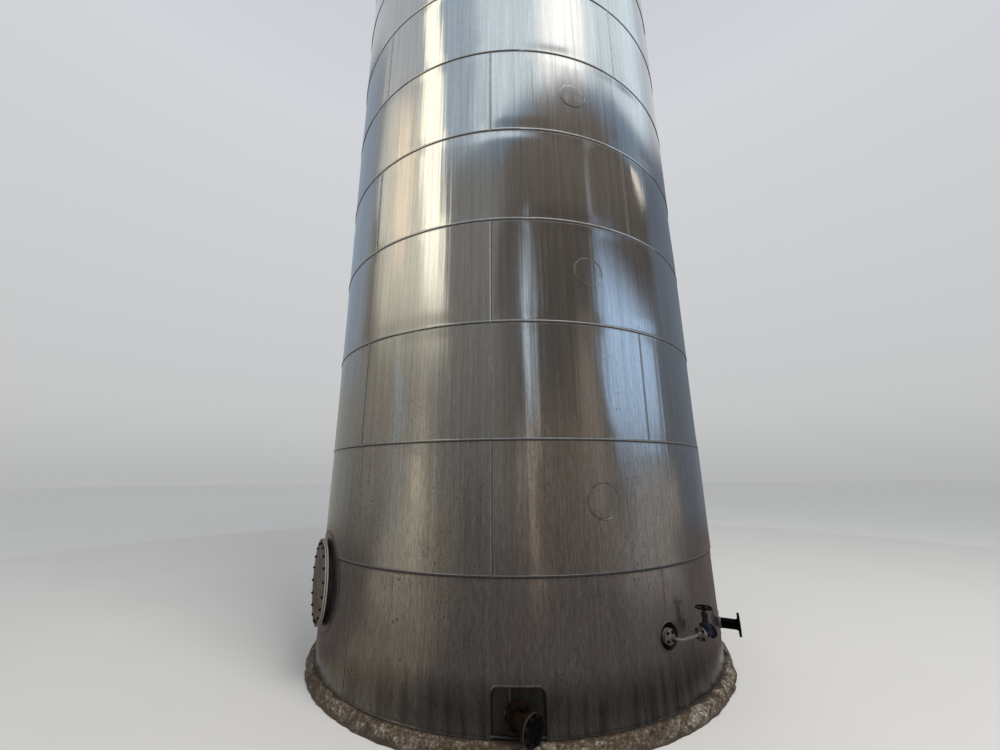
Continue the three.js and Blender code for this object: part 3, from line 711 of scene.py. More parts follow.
def seam_columns(course):
    """Angles, lift, darkening and brightening of a course's mesh columns, and the sheet that each one is on.
    The dark lines along each vertical lap are dirt and partly painted shadow, the bright bead crest partly
    painted highlight.
    """
    lap = ((-0.034, 0.0, 0.0, 0), (-0.0200, 0.0002, 0.0, 0), (-0.0140, 0.0004, 0.55, 0),
           (-0.0112, 0.0008, 0.85, 0), (-0.0100, 0.0018, 0.2, 0.6), (-0.0082, 0.0036, 0.0, 1),
           (-0.0060, 0.0043, 0.0, 1), (-0.0038, 0.0038, 0.0, 1), (-0.0022, 0.0024, 0.0, 0.8),
           (-0.0010, 0.0008, 0.9, 0), (0.0004, -0.0008, 1.0, 0), (0.0040, -0.0004, 0.85, 0),
           (0.0090, 0.0, 0.0, 0))
    length = 2 * math.pi * RADIUS / SHEETS
    columns = []
    for sheet in range(SHEETS):
        start = math.radians(SEAMS[course % 2]) + 2 * math.pi * sheet / SHEETS
        columns += [(start + arc / RADIUS, lift, darkening, brightening, sheet if arc > 0 else (sheet - 1) % SHEETS)
                    for arc, lift, darkening, brightening in lap]
        plain = np.linspace(0.03, length - 0.05, 74)
        columns += [(start + arc / RADIUS, 0.0, 0.0, 0.0, sheet) for arc in plain]
    return [np.array(row) for row in zip(*columns)]


def course_rows(course):
    """Height, lift, darkening and brightening of a course's mesh rows. The dark line at each lap edge is
    dirt and partly painted shadow, the bright bead crest partly painted highlight.
    """
    bead = [(-0.0060, 0.0008, 1.0, 0), (-0.0054, 0.0016, 1.0, 0), (-0.0005, 0.0018, 0.9, 0),
            (0.0012, 0.0032, 0.2, 0.6), (0.0035, 0.0048, 0.0, 1), (0.0065, 0.0052, 0.0, 1),
            (0.0092, 0.0042, 0.0, 0.9), (0.0112, 0.0022, 0.1, 0.4), (0.0128, 0.0006, 0.35, 0),
            (0.0165, 0.0001, 0.1, 0), (0.0260, 0.0, 0.0, 0)]
    hem = [(0.0030, 0.0036, 0.6, 0), (0.0042, 0.0046, 0.2, 0.5), (0.0080, 0.0034, 0.1, 0.4),
           (0.0130, 0.0008, 0.3, 0), (0.0260, 0.0, 0.0, 0)]
    rows = hem if course == 0 else bead
    rows += [(height, 0.0, 0.0, 0.0) for height in np.linspace(0.065, COURSE - 0.045, 26)]
    rows += [(COURSE - 0.024, 0.0, 0.0, 0), (COURSE - 0.0125, 0.0, 0.35, 0), (COURSE - 0.0065, 0.0, 1.0, 0),
             (COURSE, -0.0006, 1.0, 0)]
    return [np.array(row) for row in zip(*rows)]


def course_marks(course, row_darkening, row_brightening, seam_darkening, seam_brightening):
    """Darkening and brightening over a course: dark lap lines that are dirt and partly painted shadow, bead
    and lap crests brightened more higher up as wear and partly painted highlight, settled dirt on the lower
    ones.
    """
    if course == 0:
        seam_darkening = 0.5 * seam_darkening
    brightening = np.maximum(row_brightening[:, None], seam_brightening) * min(1.0, 0.25 * (course + 1))
    darkening = np.maximum(row_darkening[:, None], seam_darkening) * (1 - brightening)
    settled = (0.4, 0.97, 0.45, 0.15)[course] if course < 4 else 0.0
    return np.maximum(darkening, settled * row_brightening[:, None]), brightening


def course_sheets(course):
    """One course as a closed shell: beaded, lapped sheets outside and a plain face inside."""
    turns, seam_lift, seam_darkening, seam_brightening, sheet = seam_columns(course)
    rises, row_lift, row_darkening, row_brightening = course_rows(course)
    heights = BASE + course * COURSE + rises
    inside_course = BASE + (course + np.clip(rises / COURSE, 0.0, 0.9999)) * COURSE
    turn_grid, shape_height = np.meshgrid(turns, inside_course)
    fade = smoothstep(0.0, 0.014, COURSE - rises)[:, None]
    lift = np.maximum(row_lift[:, None], seam_lift * fade)
    lift = np.where(seam_lift < 0, row_lift[:, None] + seam_lift, lift)
    radius = RADIUS + wall_shape(turn_grid, shape_height) + lift
    outer = np.stack([radius * np.sin(turn_grid), -radius * np.cos(turn_grid),
                      np.broadcast_to(heights[:, None], radius.shape)], axis=2).reshape(-1, 3)
    back = RADIUS + SHEET_BACK
    inner = [(back * math.sin(t), -back * math.cos(t), z) for z in (heights[-1], heights[0]) for t in turns]
    rows, columns = radius.shape
    name = f"course_{course + 1:02d}_sheets"
    mesh = bpy.data.meshes.new(name)
    mesh.from_pydata([tuple(v) for v in outer] + inner, [], net(rows + 2, columns, True))

    draw = random.Random(31 + course)
    tones = np.array([draw.random() for _ in range(SHEETS)])
    tone = np.broadcast_to(tones[sheet.astype(int)], radius.shape)
    darkening, brightening = course_marks(course, row_darkening, row_brightening, seam_darkening, seam_brightening)
    for kind, values in (("edge_dirt_and_shade", darkening), ("rubbed_and_highlit", brightening), ("sheet_tone", tone)):
        set_values(mesh, kind, np.concatenate([values.ravel(), np.zeros(2 * columns)]))
    return into_scene(name, mesh)


def round_cutter(place, radius):
    reach = 0.2
    return Shape().add(rod(radius, -reach, reach, 64), wall_frame(place) @ OUT)


def arch(half_width, bottom, top, corner):
    """A panel outline with round upper corners, anticlockwise from the lower left."""
    points = [(-half_width, bottom), (half_width, bottom)]
    for centre, start in ((half_width - corner, 0.0), (corner - half_width, math.pi / 2)):
        for step in range(7):
            across, up, _ = polar(corner, start + step * math.pi / 12, 0)
            points.append((centre + across, top - corner + up))
    return points


def arch_cutter():
    to_wall = Matrix(((0, 0, 1, 0), (1, 0, 0, 0), (0, 1, 0, 0), (0, 0, 0, 1)))
    return Shape().add(prism(arch(0.1835, -0.150, 0.1645, 0.047), -0.06, 0.06), wall_frame(OUTLET) @ to_wall)


def add_cladding():
    manway = round_cutter(MANWAY, 0.420)
    holes = {0: [manway, round_cutter(SAMPLING, 0.095), round_cutter(PROCESS, 0.047), arch_cutter()],
             1: [manway]}
    for course in range(COURSES):
        thing = course_sheets(course)
        if course in holes:
            pierce(thing, holes[course])
        finish_piece(thing, "cladding_steel", f"cladding_course_{course + 1:02d}", sharp=50)


def add_rivets():
    """Pop rivets down the vertical seams."""
    head = lathe([(0, 0.0028), (0.0036, 0.0028), (0.0038, 0.0044), (0.0030, 0.0056), (0.0014, 0.0062),
                  (0.0012, 0.0054), (0, 0.0054)], 10)
    first, spacing, count = 0.11, 0.15, 6
    clear_of_sampling = 0.12
    shape = Shape()
    for course in range(COURSES):
        for sheet in range(SHEETS):
            angle = SEAMS[course % 2] + 360 / SHEETS * sheet - math.degrees(0.0060 / RADIUS)
            for k in range(count):
                height = BASE + course * COURSE + first + k * spacing
                across = (angle - SAMPLING[0]) * math.pi / 180 * RADIUS
                if math.hypot(across, height - SAMPLING[1]) > clear_of_sampling:
                    shape.add(on_wall(head, (angle, height)))
    piece("seam_rivets", shape, "galvanised_steel", material="black_rust")


def add_caps():
    """Inspection caps: flat discs with a rolled rim."""
    profile = [(0, 0.0012), (0.060, 0.0012), (0.122, 0.0012), (0.127, 0.0012), (0.1300, 0.0008),
               (0.1325, 0.0010), (0.1340, 0.0026), (0.1358, 0.0038), (0.1380, 0.0036), (0.1392, 0.0022),
               (0.1402, 0.0012), (0.1420, 0.0008), (0.1420, 0.0003), (0.070, 0.0003), (0, 0.0003)]
    for number, angle in enumerate(CAP_ANGLES):
        place = (angle, BASE + (CAP_FIRST + number * CAP_SPACING) * COURSE)
        cap = piece(f"cap_{number + 1}_rolled", on_wall(lathe(profile, 72), place), "cladding_steel",
                    f"inspection_cap_{number + 1}")
        centre = wall_frame(place, SHEET_OUT).translation
        # Dark rings beside the rolled rim are dirt and partly painted shade; its bright crest is partly
        # painted highlight.
        mark_rings(cap, centre, ((0.1290, 0.1330, 1), (0.1390, 0.1430, 1)), ((0.1335, 0.1385, 1),))


# Foundation

def mortar_point(around, radius, height, rough, free, rising):
    """A point of the shoulder, moved out and up by lumps and grit where it is free to."""
    spot = around * radius + Vector((0, 0, height))
    lumps = noise.fractal(spot * 9, 1.0, 2.0, 5) * 0.020 * rough
    lumps += noise.fractal(spot * 42, 1.0, 2.0, 3) * 0.0035
    rise = lumps * free * 0.55 if rising else 0.0
    return around * (radius + lumps * free * 0.8) + Vector((0, 0, max(0.0, min(0.0995, height + rise))))


def add_foundation():
    """A concrete pad with a rough, hand-laid mortar shoulder."""
    steps = 720
    profile = ((2.120, 0.0985), (2.146, 0.0990), (2.158, 0.0975), (2.170, 0.0930), (2.181, 0.0870),
               (2.191, 0.0790), (2.200, 0.0680), (2.208, 0.0560), (2.214, 0.0430), (2.219, 0.0300),
               (2.221, 0.0160), (2.219, 0.0))
    count = len(profile)
    crusty, pale = math.radians(48), math.radians(42)  # to the right and to the left of the front
    verts = []
    for i in range(steps):
        turn = 2 * math.pi * i / steps
        around = Vector((math.sin(turn), -math.cos(turn), 0))
        rough = 0.6 + (0.35 + 0.65 * max(0.0, math.cos(turn - crusty)) ** 3)
        for j, (radius, height) in enumerate(profile):
            foot = j == count - 1
            free = min(1.0, max(0.0, (j - 1) / 3)) * (0.35 if foot else 1.0)
            verts.append(mortar_point(around, radius, height, rough, free, not foot))
    faces = net(steps, count, True, False)
    faces += [tuple(i * count + j for i in range(steps)) for j in (0, count - 1)]
    shoulder = piece("foundation_mortar", (verts, faces), "concrete", "foundation", sharp=60)
    turns = np.array([math.atan2(v.co.x, -v.co.y) for v in shoulder.data.vertices])
    right = np.maximum(0, np.cos(turns - crusty)) ** 5
    left = np.maximum(0, np.cos(turns + pale)) ** 4
    set_values(shoulder.data, "whitish", np.maximum(right, 0.55 * left))


# Roof, rim, vent and guard rail

def roof_height(radius):
    return TOP + (RADIUS - radius) * ROOF_SLOPE


def add_roof():
    """A cone of gores with standing seams."""
    gores = 16
    hole = 0.112
    seam = ((-0.016, 0.0), (-0.0045, 0.0010), (-0.0040, 0.0150),
            (0.0040, 0.0150), (0.0045, 0.0010), (0.016, 0.0))
    radii = np.concatenate([[hole, 0.125, 0.16, 0.25], np.linspace(0.38, RADIUS + 0.004, 20)])
    columns = []
    for gore in range(gores):
        start = 2 * math.pi * gore / gores
        columns += [(start, offset, lift) for offset, lift in seam]
        columns += [(start + 2 * math.pi / gores * k / 8, 0.0, 0.0) for k in range(1, 8)]
    verts = []
    for radius in radii:
        fade = min(1.0, (radius - hole) / 0.05)
        for turn, offset, lift in columns:
            angle = turn + offset / radius
            wave = 0.0022 * math.sin(3 * radius + 5 * angle) * math.sin(gores * angle / 2) ** 2
            verts.append(polar(radius, angle, roof_height(radius) + 0.0018 + lift * fade + wave))
    for radius in (radii[-1], radii[0]):
        underside = roof_height(radius) + 0.0004
        verts += [polar(radius, turn + offset / radius, underside) for turn, offset, _ in columns]
    piece("roof_gores", (verts, net(len(radii) + 2, len(columns), True)), "roof_steel", "roof_cladding")


def rim_straps(skirt, inner_foot):
    """Cover straps over the flashing's joints, each with four rivets."""
    proud, thin = 0.0015, 0.001
    inner_end, outer_end = inner_foot + 0.004, skirt + 0.006
    outline = [(RIM_INNER - proud, inner_end), (RIM_INNER - proud, RIM_TOP + proud),
               (RIM_OUTER + proud, RIM_TOP + proud), (RIM_OUTER + proud, outer_end),
               (RIM_OUTER - thin, outer_end), (RIM_OUTER - thin, RIM_TOP - thin),
               (RIM_INNER + thin, RIM_TOP - thin), (RIM_INNER + thin, inner_end)]
    strap = rounded(outline, 0.002, 2, closed=True)
    size = len(strap)
    rivet = rod(0.004, -0.001, 0.0022, 10, (0.001, 3))
    shape = Shape()
    for k in range(8):
        middle = math.radians(22.5 + 45 * k)
        verts = [polar(r, middle + side / RIM_OUTER, z) for side in (-0.03, 0.03) for r, z in strap]
        shape.add((verts, net(2, size) + [tuple(range(size)), tuple(range(size, 2 * size))]))
        for side in (-0.02, 0.02):
            place = turned(middle + side / RIM_OUTER)
            for height in (RIM_TOP - 0.03, RIM_TOP - 0.09):
                shape.add(rivet, place @ shift(RIM_OUTER + proud, 0, height) @ OUT)
    return shape.verts, shape.faces


def add_rim():
    """The folded flashing over the joint of roof and wall."""
    skirt = TOP - 0.050
    inner_foot = roof_height(RIM_INNER) + 0.002
    profile = [(RIM_INNER, inner_foot), (RIM_INNER, RIM_TOP), (RIM_OUTER, RIM_TOP),
               (RIM_OUTER, skirt + 0.004), (RIM_OUTER + 0.004, skirt), (RIM_OUTER - 0.004, skirt),
               (RIM_OUTER - 0.0035, TOP + 0.012), (RIM_INNER + 0.03, TOP + 0.018)]
    shape = Shape().add(lathe(profile, 240, closed=True, edge=(0.004, 3)))
    piece("rim_flashing", shape.add(rim_straps(skirt, inner_foot)), "roof_steel", "roof_rim")


def hex_part(across, height):
    """A chamfered hexagon, around +Z."""
    corner = across / math.sqrt(3)
    return lathe([(0, 0), (corner, 0), (corner, height * 0.82), (corner * 0.86, height), (0, height)], 6)


def bolt_head(size, stub=0.0):
    """A washer and a hexagon of a bolt of a size, around +Z, with the bolt's end standing out."""
    part = Shape().add(rod(size * 1.05, 0, size * 0.16, 20, (size * 0.05, 1)))
    turn = random.Random(size).random()
    part.add(hex_part(size * 1.5, size * 0.72), shift(0, 0, size * 0.14) @ turned(turn))
    if stub:
        foot = size * 0.8
        part.add(lathe([(0, foot), (size * 0.5, foot), (size * 0.5, foot + stub - size * 0.08),
                        (size * 0.42, foot + stub), (0, foot + stub)], 12))
    return part.verts, part.faces


def facing(direction, part):
    """Turns a part made around +Z by OUT, to point outwards, or by IN."""
    return [direction @ Vector(v) for v in part[0]], part[1]


def post_foot(place):
    """A guard rail post's foot plate with its fillet weld and four bolts."""
    shape = Shape().add(bar((0.076, 0.090, 0.008), 0.004), place @ shift(0, 0, 0.004))
    fillet = [(0.0205, 0.007), (0.0275, 0.0078), (0.0265, 0.0105), (0.0235, 0.0140), (0.0205, 0.0165)]
    shape.add(lathe(fillet, 20, closed=True), place)
    for x in (-0.027, 0.027):
        for y in (-0.034, 0.034):
            shape.add(bolt_head(0.010, 0.005), place @ shift(x, y, 0.008))
    return shape.verts, shape.faces


def rail_post(turn):
    """A post with its foot, and a weld on each side where each rail passes."""
    place = turned(turn) @ shift(RAIL_RADIUS, 0, RIM_TOP)
    top = RAIL_LEVELS[1] + 0.006
    shape = Shape().add(rod(0.021, 0.003, top, 18, (0.006, 3)), place)
    shape.add(post_foot(place))
    bead = lathe([(0.0195, -0.004), (0.0240, -0.003), (0.0240, 0.003), (0.0195, 0.004)], 18, closed=True)
    for level in RAIL_LEVELS:
        for side in (-0.0195, 0.0195):
            sideways = place @ shift(0, side, level) @ turned(math.pi / 2, "X")
            shape.add(bead, sideways @ Matrix.Scale(0.86, 4))
    return shape.verts, shape.faces


def add_guard_rail():
    section_turn = 2 * math.pi / RAIL_SECTIONS
    for section in range(RAIL_SECTIONS):
        shape = Shape()
        start = section * section_turn
        for level in RAIL_LEVELS:
            height = RIM_TOP + level
            rail = level_arc(RAIL_RADIUS, height, 36, start + 0.0004, start + section_turn - 0.0004)
            sleeve = level_arc(RAIL_RADIUS, height, 4, start + 0.0006, start + 0.024)
            shape.add(tube(rail, 0.0170, 14))
            shape.add(tube(sleeve, 0.0186, 14))
        for post in range(POSTS // RAIL_SECTIONS):
            shape.add(rail_post(start + (post + 0.5) * 2 * math.pi / POSTS))
        piece(f"guard_rail_{section + 1}_tubes", shape, "galvanised_steel", f"guard_rail_{section + 1}")


def add_vent_neck():
    """A flanged pipe through the roof, with its rain collar and bolts."""
    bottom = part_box("vent_neck")[0].z
    bore, pipe, flange = 0.1035, 0.1095, 0.170
    back = VENT_TOP - 0.020
    neck = [(bore, bottom), (pipe, bottom), (pipe, back), (flange, back), (flange, VENT_TOP),
            (bore, VENT_TOP)]
    shape = Shape().add(lathe(neck, 64, closed=True, edge=(0.002, 2)))
    foot = roof_height(0.125)
    shape.add(lathe([(0.1098, foot + 0.09), (0.1125, foot + 0.09), (0.1180, foot + 0.03),
                     (0.165, roof_height(0.165) + 0.010), (0.185, roof_height(0.185) + 0.0045),
                     (0.185, roof_height(0.185) + 0.0020), (0.1098, foot + 0.008)], 64, closed=True))
    shape.add(lathe([(pipe, back - 0.008), (0.1180, back - 0.0002), (pipe, back - 0.0002)], 48, closed=True))
    for k in range(8):
        place = turned(math.radians(45 * k + 22.5)) @ shift(0.142, 0, VENT_TOP)
        shape.add(bolt_head(0.016), place)
        shape.add(bolt_head(0.016, 0.008), place @ shift(0, 0, -0.020) @ turned(math.pi, "X"))
    piece("vent_neck_flanged", shape, "galvanised_steel", "vent_neck")


def add_vent_hood():
    """A spun hood on three legs over the vent's flange."""
    eaves = VENT_TOP + 0.090
    hood = Shape().add(lathe([(0, eaves + 0.0705), (0.237, eaves + 0.0222), (0.2375, eaves - 0.033),
                              (0.2365, eaves - 0.0345), (0.2405, eaves - 0.0350), (0.2410, eaves - 0.031),
                              (0.2402, eaves + 0.0235), (0.2370, eaves + 0.0265), (0.02, eaves + 0.0725),
                              (0, eaves + 0.0735)], 72))
    leg = rounded([(0.0, -0.02), (0.006, -0.02), (0.006, 0.02), (0.0, 0.02)], 0.001, 1, closed=True)
    for k in range(3):
        around = turned(math.radians(120 * k))
        hood.add(prism(leg, VENT_TOP + 0.0005, eaves + 0.040), around @ shift(0.147, 0, 0))
        hood.add(bar((0.034, 0.04, 0.004)), around @ shift(0.138, 0, VENT_TOP + 0.0025))
    piece("vent_hood_spun", hood, "galvanised_steel", "vent_hood")


# Manway

def add_manway():
    """A flanged neck with a bolted flat cover, and the collar plate around it."""
    place = wall_frame(MANWAY)
    around = place @ OUT
    bore, pipe, flange, inside = 0.297, 0.305, 0.374, -0.177
    back, joint, face = 0.036, 0.050, 0.064
    neck = [(bore, inside), (pipe, inside), (pipe, back), (flange, back), (flange, joint - 0.0034),
            (0.3693, joint - 0.0002), (0.345, joint - 0.0002), (0.343, joint - 0.0004),
            (bore, joint - 0.0004)]
    fillet = [(0.3045, back - 0.012), (0.3145, back - 0.0002), (0.3045, back - 0.0002)]
    shape = Shape().add(lathe(neck, 128, closed=True, edge=(0.0024, 2)), around)
    shape.add(lathe(fillet, 96, closed=True), around)
    flanged = piece("manway_neck_flanged", shape, "off_white_paint", "manway_neck")
    # Painted shade on the neck and the flange's back in the gap to the wall, a dark ring at the joint, and a
    # painted highlight on the flange's rim.
    mark_rings(flanged, (place @ shift((back + joint) / 2, 0, 0)).translation,
               ((0.300, 0.340, 1), (0.3660, 0.3708, 1)), ((0.3728, 0.3760, 1),))

    cover = lathe([(0, joint + 0.0004), (0.3678, joint + 0.0004), (0.3725, joint + 0.0036),
                   (0.3725, face), (0, face)], 128, edge=(0.0022, 3))
    plate = piece("manway_cover_plate", cover, "off_white_paint", "manway_cover", around)
    # A dark ring at the joint, and a painted highlight on the cover's rim.
    mark_rings(plate, (place @ shift((joint + face) / 2, 0, 0)).translation,
               ((0.3650, 0.3691, 1),), ((0.3712, 0.3760, 1),))
    add_manway_bolts(place, back, joint, face)

    profile = [(0.3065, -0.0022), (0.3065, 0.0020), (0.425, 0.0026), (0.4370, 0.0028), (0.4410, 0.0052),
               (0.4450, 0.0058), (0.4480, 0.0040), (0.4485, 0.0010), (0.4485, -0.0002), (0.430, -0.0022)]
    collar = piece("manway_collar_plate", on_wall(lathe(profile, 128, closed=True), MANWAY),
                   "cladding_steel", "manway_collar")
    mark_rings(collar, wall_frame(MANWAY, SHEET_OUT).translation,
               ((0.4330, 0.4390, 0.8), (0.4395, 0.4465, 0.4), (0.4470, 0.4520, 0.8)))


def add_manway_bolts(place, back, joint, face):
    """Eighteen bolts through the cover and the flange, and the gasket between them."""
    count, radius, first = 18, 0.332, math.radians(-1.33)
    bolts = Shape()
    bolts.around(facing(OUT, bolt_head(0.014, 0.004)), count, radius, place @ shift(face, 0, 0), first)
    bolts.around(facing(IN, bolt_head(0.014, 0.003)), count, radius, place @ shift(back, 0, 0), first)
    bolts.add(ring(0.300, 0.3685, joint - 0.0008, joint + 0.0008, 96), place @ OUT)
    piece("manway_bolts", bolts, "rusty_steel", material="black_rust")


# Bottom outlet

def flanged_neck(pipe, flange, back, face):
    """A nozzle's (radius, height) profile, from the vessel wall to its flange's raised face.

    The pipe is its (bore, outer radius), and the flange its (outer radius, raised face's radius).
    """
    inside, rise = -0.157, 0.001
    return [(pipe[0], inside), (pipe[1], inside), (pipe[1], back), (flange[0], back),
            (flange[0], face - rise), (flange[1] + rise, face - rise), (flange[1], face), (pipe[0], face)]


def weld(radius, place):
    """A bead of weld around a pipe, at a place along it."""
    section = ((-0.002, -0.006), (0.003, -0.0045), (0.0045, 0), (0.003, 0.0045), (-0.002, 0.006))
    return lathe([(radius + out, place + along) for out, along in section], 40, closed=True)


def spool_path():
    """The spool's axis after its flange, in the fitting's frame: a bend and a straight end."""
    start, bend, straight = 0.0303, 0.060, 0.096
    arc = [Vector((start + bend * math.sin(t), bend * (1 - math.cos(t)), 0))
           for t in np.linspace(0, OUTLET_TURN, 9)]
    along = Vector((math.cos(OUTLET_TURN), math.sin(OUTLET_TURN), 0))
    return arc + [arc[-1] + along * straight]


def add_outlet():
    """A flanged nozzle, a bent spool and a blind flange, with their bolts and gasket."""
    pipe, flange, raised = 0.0445, 0.092, 0.063
    place = wall_frame(OUTLET)
    around = place @ OUT
    neck = flanged_neck((0.0395, pipe), (flange, raised), 0.002, 0.0198)
    nozzle = piece("outlet_nozzle_flanged", lathe(neck, 64, closed=True, edge=(0.0015, 2)), "rusty_steel",
                   "outlet_nozzle", around)
    # A painted highlight on the flange's left rim only.
    mark_strips(nozzle, place, rubbed_and_highlit=((-0.0930, -0.0835, 1),))

    path = spool_path()
    tail = place @ (shift(*path[-1]) @ turned(OUTLET_TURN))
    shoulder = 0.064
    first = [(0, 0.0204), (raised, 0.0204), (shoulder, 0.0216), (flange, 0.0216), (flange, 0.0383),
             (0, 0.0383)]
    last = [(0, -0.012), (flange, -0.012), (flange, 0.0030), (shoulder, 0.0030), (raised, 0.004),
            (0, 0.004)]
    spool = Shape().add(lathe(first, 64, edge=(0.0016, 2)), around)
    spool.add(tube([place @ v for v in [Vector((0.025, 0, 0))] + path], pipe, 32))
    spool.add(lathe(last, 64, edge=(0.0016, 2)), tail @ OUT)
    spool.add(weld(pipe, 0.0400), around)
    spool.add(weld(pipe, -0.0150), tail @ OUT)
    piece("outlet_spool_bent", spool, "rusty_steel", "outlet_spool")

    blind = [(0, 0.0044), (raised, 0.0044), (shoulder, 0.0056), (flange, 0.0056), (flange, 0.0220),
             (0.058, 0.0220), (0, 0.0224)]
    plate = piece("outlet_blind_plate", lathe(blind, 72, edge=(0.0022, 3)), "black_steel",
                  "outlet_blind_flange", tail @ OUT)
    # A painted highlight, at less than half strength, round the blind flange's rim.
    mark_rings(plate, (tail @ shift(0.0138, 0, 0)).translation, rubbed_and_highlit=((0.0913, 0.0935, 0.45),))

    bolts = Shape()
    head = bolt_head(0.016, 0.007)
    for joint, low, high in ((place, 0.002, 0.0383), (tail, -0.012, 0.022)):
        for direction, height in ((OUT, high), (IN, low)):
            bolts.around(facing(direction, head), 8, 0.0765, joint @ shift(height, 0, 0), math.radians(22.5))
    bolts.add(ring(0.040, 0.070, 0, 0.0026, 48), place @ shift(0.0188, 0, 0) @ OUT)
    piece("outlet_bolts", bolts, "rusty_steel", material="black_rust")


def finer(path, reach):
    """The same closed outline, its points no further apart than the reach."""
    points = []
    for here, after in zip(path, path[1:] + path[:1]):
        steps = max(1, math.ceil(math.dist(here, after) / reach))
        points += [tuple(Vector(here).lerp(Vector(after), k / steps)) for k in range(steps)]
    return points


def cover_plate(left, right, lift, side, marks):
    """One of the lapped plates behind the outlet, with a round notch for the pipe."""
    columns = np.linspace(left, right, 25)
    rows = np.linspace(BASE + 0.008 - OUTLET[1], 0.1625, 21)
    back = -0.0195
    face = back + 0.0022 + lift
    verts = [(x, y, face + 0.0007 * math.sin(31 * x + 17 * y)) for y in rows for x in columns]
    verts += [(x, y, back + lift) for y in rows for x in columns]
    width = len(columns)
    half = width * len(rows)
    faces = []
    for a, b, c, d in net(len(rows), width, columns_meet=False):
        faces += [(a, b, c, d), (half + a, half + d, half + c, half + b)]
    edge = list(range(width)) + [r * width + width - 1 for r in range(1, len(rows))]
    edge += [half - 1 - c for c in range(1, width)] + [r * width for r in range(len(rows) - 2, 0, -1)]
    faces += [(a, half + a, half + b, b) for a, b in zip(edge, edge[1:] + edge[:1])]
    name = "outlet_plate_" + side
    thing = into_scene(name, Shape().add(on_wall((verts, faces), OUTLET)).mesh(name))
    pierce(thing, [round_cutter(OUTLET, 0.0475)])
    finish_piece(thing, "cladding_steel", "outlet_cover_" + side, material="grimy_shaded_steel")
    mark_strips(thing, wall_frame(OUTLET), *marks)


def wall_rail(path, section, place):
    """A closed strip of a (across, out) section that follows a flat outline on the wall, mitred."""
    count = len(path)
    points = [Vector(p) for p in path]
    verts = []
    for i, here in enumerate(points):
        before = (here - points[i - 1]).normalized()
        after = (points[(i + 1) % count] - here).normalized()
        normal_after = Vector((after.y, -after.x))
        mitre = (Vector((before.y, -before.x)) + normal_after).normalized()
        mitre = mitre / max(0.3, mitre.dot(normal_after))
        verts += [(here.x + mitre.x * a, here.y + mitre.y * a, out) for a, out in section]
    return on_wall((verts, net(count, len(section), True)), place)


def add_outlet_surround():
    """The lapped cover plates, and the folded frame around them."""
    lap = -0.047
    # The light line on the left plate's lap edge is a painted highlight; the dark bands at the lap and the
    # outer edges are dirt and partly painted shade.
    cover_plate(-0.181, lap, 0.0014, "left", (((-0.20, -0.168, 0.8),), ((lap - 0.014, lap + 0.002, 1),)))
    cover_plate(-0.057, 0.181, 0.0, "right", (((-0.060, lap + 0.011, 1), (0.168, 0.20, 0.8)),))
    middle = arch(0.1905, BASE + 0.0155 - OUTLET[1], 0.1715, 0.0525)
    section = [(-0.0082, -0.0200), (-0.0074, -0.0200), (-0.0070, 0.0010), (-0.0050, 0.0034),
               (-0.0020, 0.0048), (0.0020, 0.0048), (0.0050, 0.0034), (0.0072, 0.0006), (0.0072, -0.0004),
               (-0.0062, -0.0004), (-0.0082, -0.0030)]
    surround = piece("outlet_frame_folded", wall_rail(finer(middle, 0.02), section, OUTLET),
                     "cladding_steel", "outlet_frame")
    # The whole frame is darkened evenly: dirt, and partly painted shade at the tank's foot.
    set_values(surround.data, "edge_dirt_and_shade", np.full(len(surround.data.vertices), 0.35))


# Sampling point

def smooth_path(points, steps):
    """A path through given points, rounded by a Catmull-Rom curve."""
    points = [Vector(p) for p in points]
    padded = [2 * points[0] - points[1]] + points + [2 * points[-1] - points[-2]]
    path = []
    for a, b, c, d in zip(padded, padded[1:], padded[2:], padded[3:]):
        for k in range(steps):
            t = k / steps
            path.append(0.5 * (2 * b + (c - a) * t + (2 * a - 5 * b + 4 * c - d) * t ** 2
                               + (3 * b - a - 3 * c + d) * t ** 3))
    return path + [points[-1]]


def sampling_route():
    """The pipe's axis: out of the plate, round a bend to the right and along the wall to the valve."""
    out, right, _ = VALVE_PLACE
    bend = 0.038
    arc = [(out - bend + bend * math.sin(t), bend * (1 - math.cos(t)), 0)
           for t in np.linspace(0, math.pi / 2, 11)]
    return [(0.020, 0, 0), (0.045, 0, 0)] + arc + [(out, right * 0.6, 0), (out, right - 0.010, 0)]


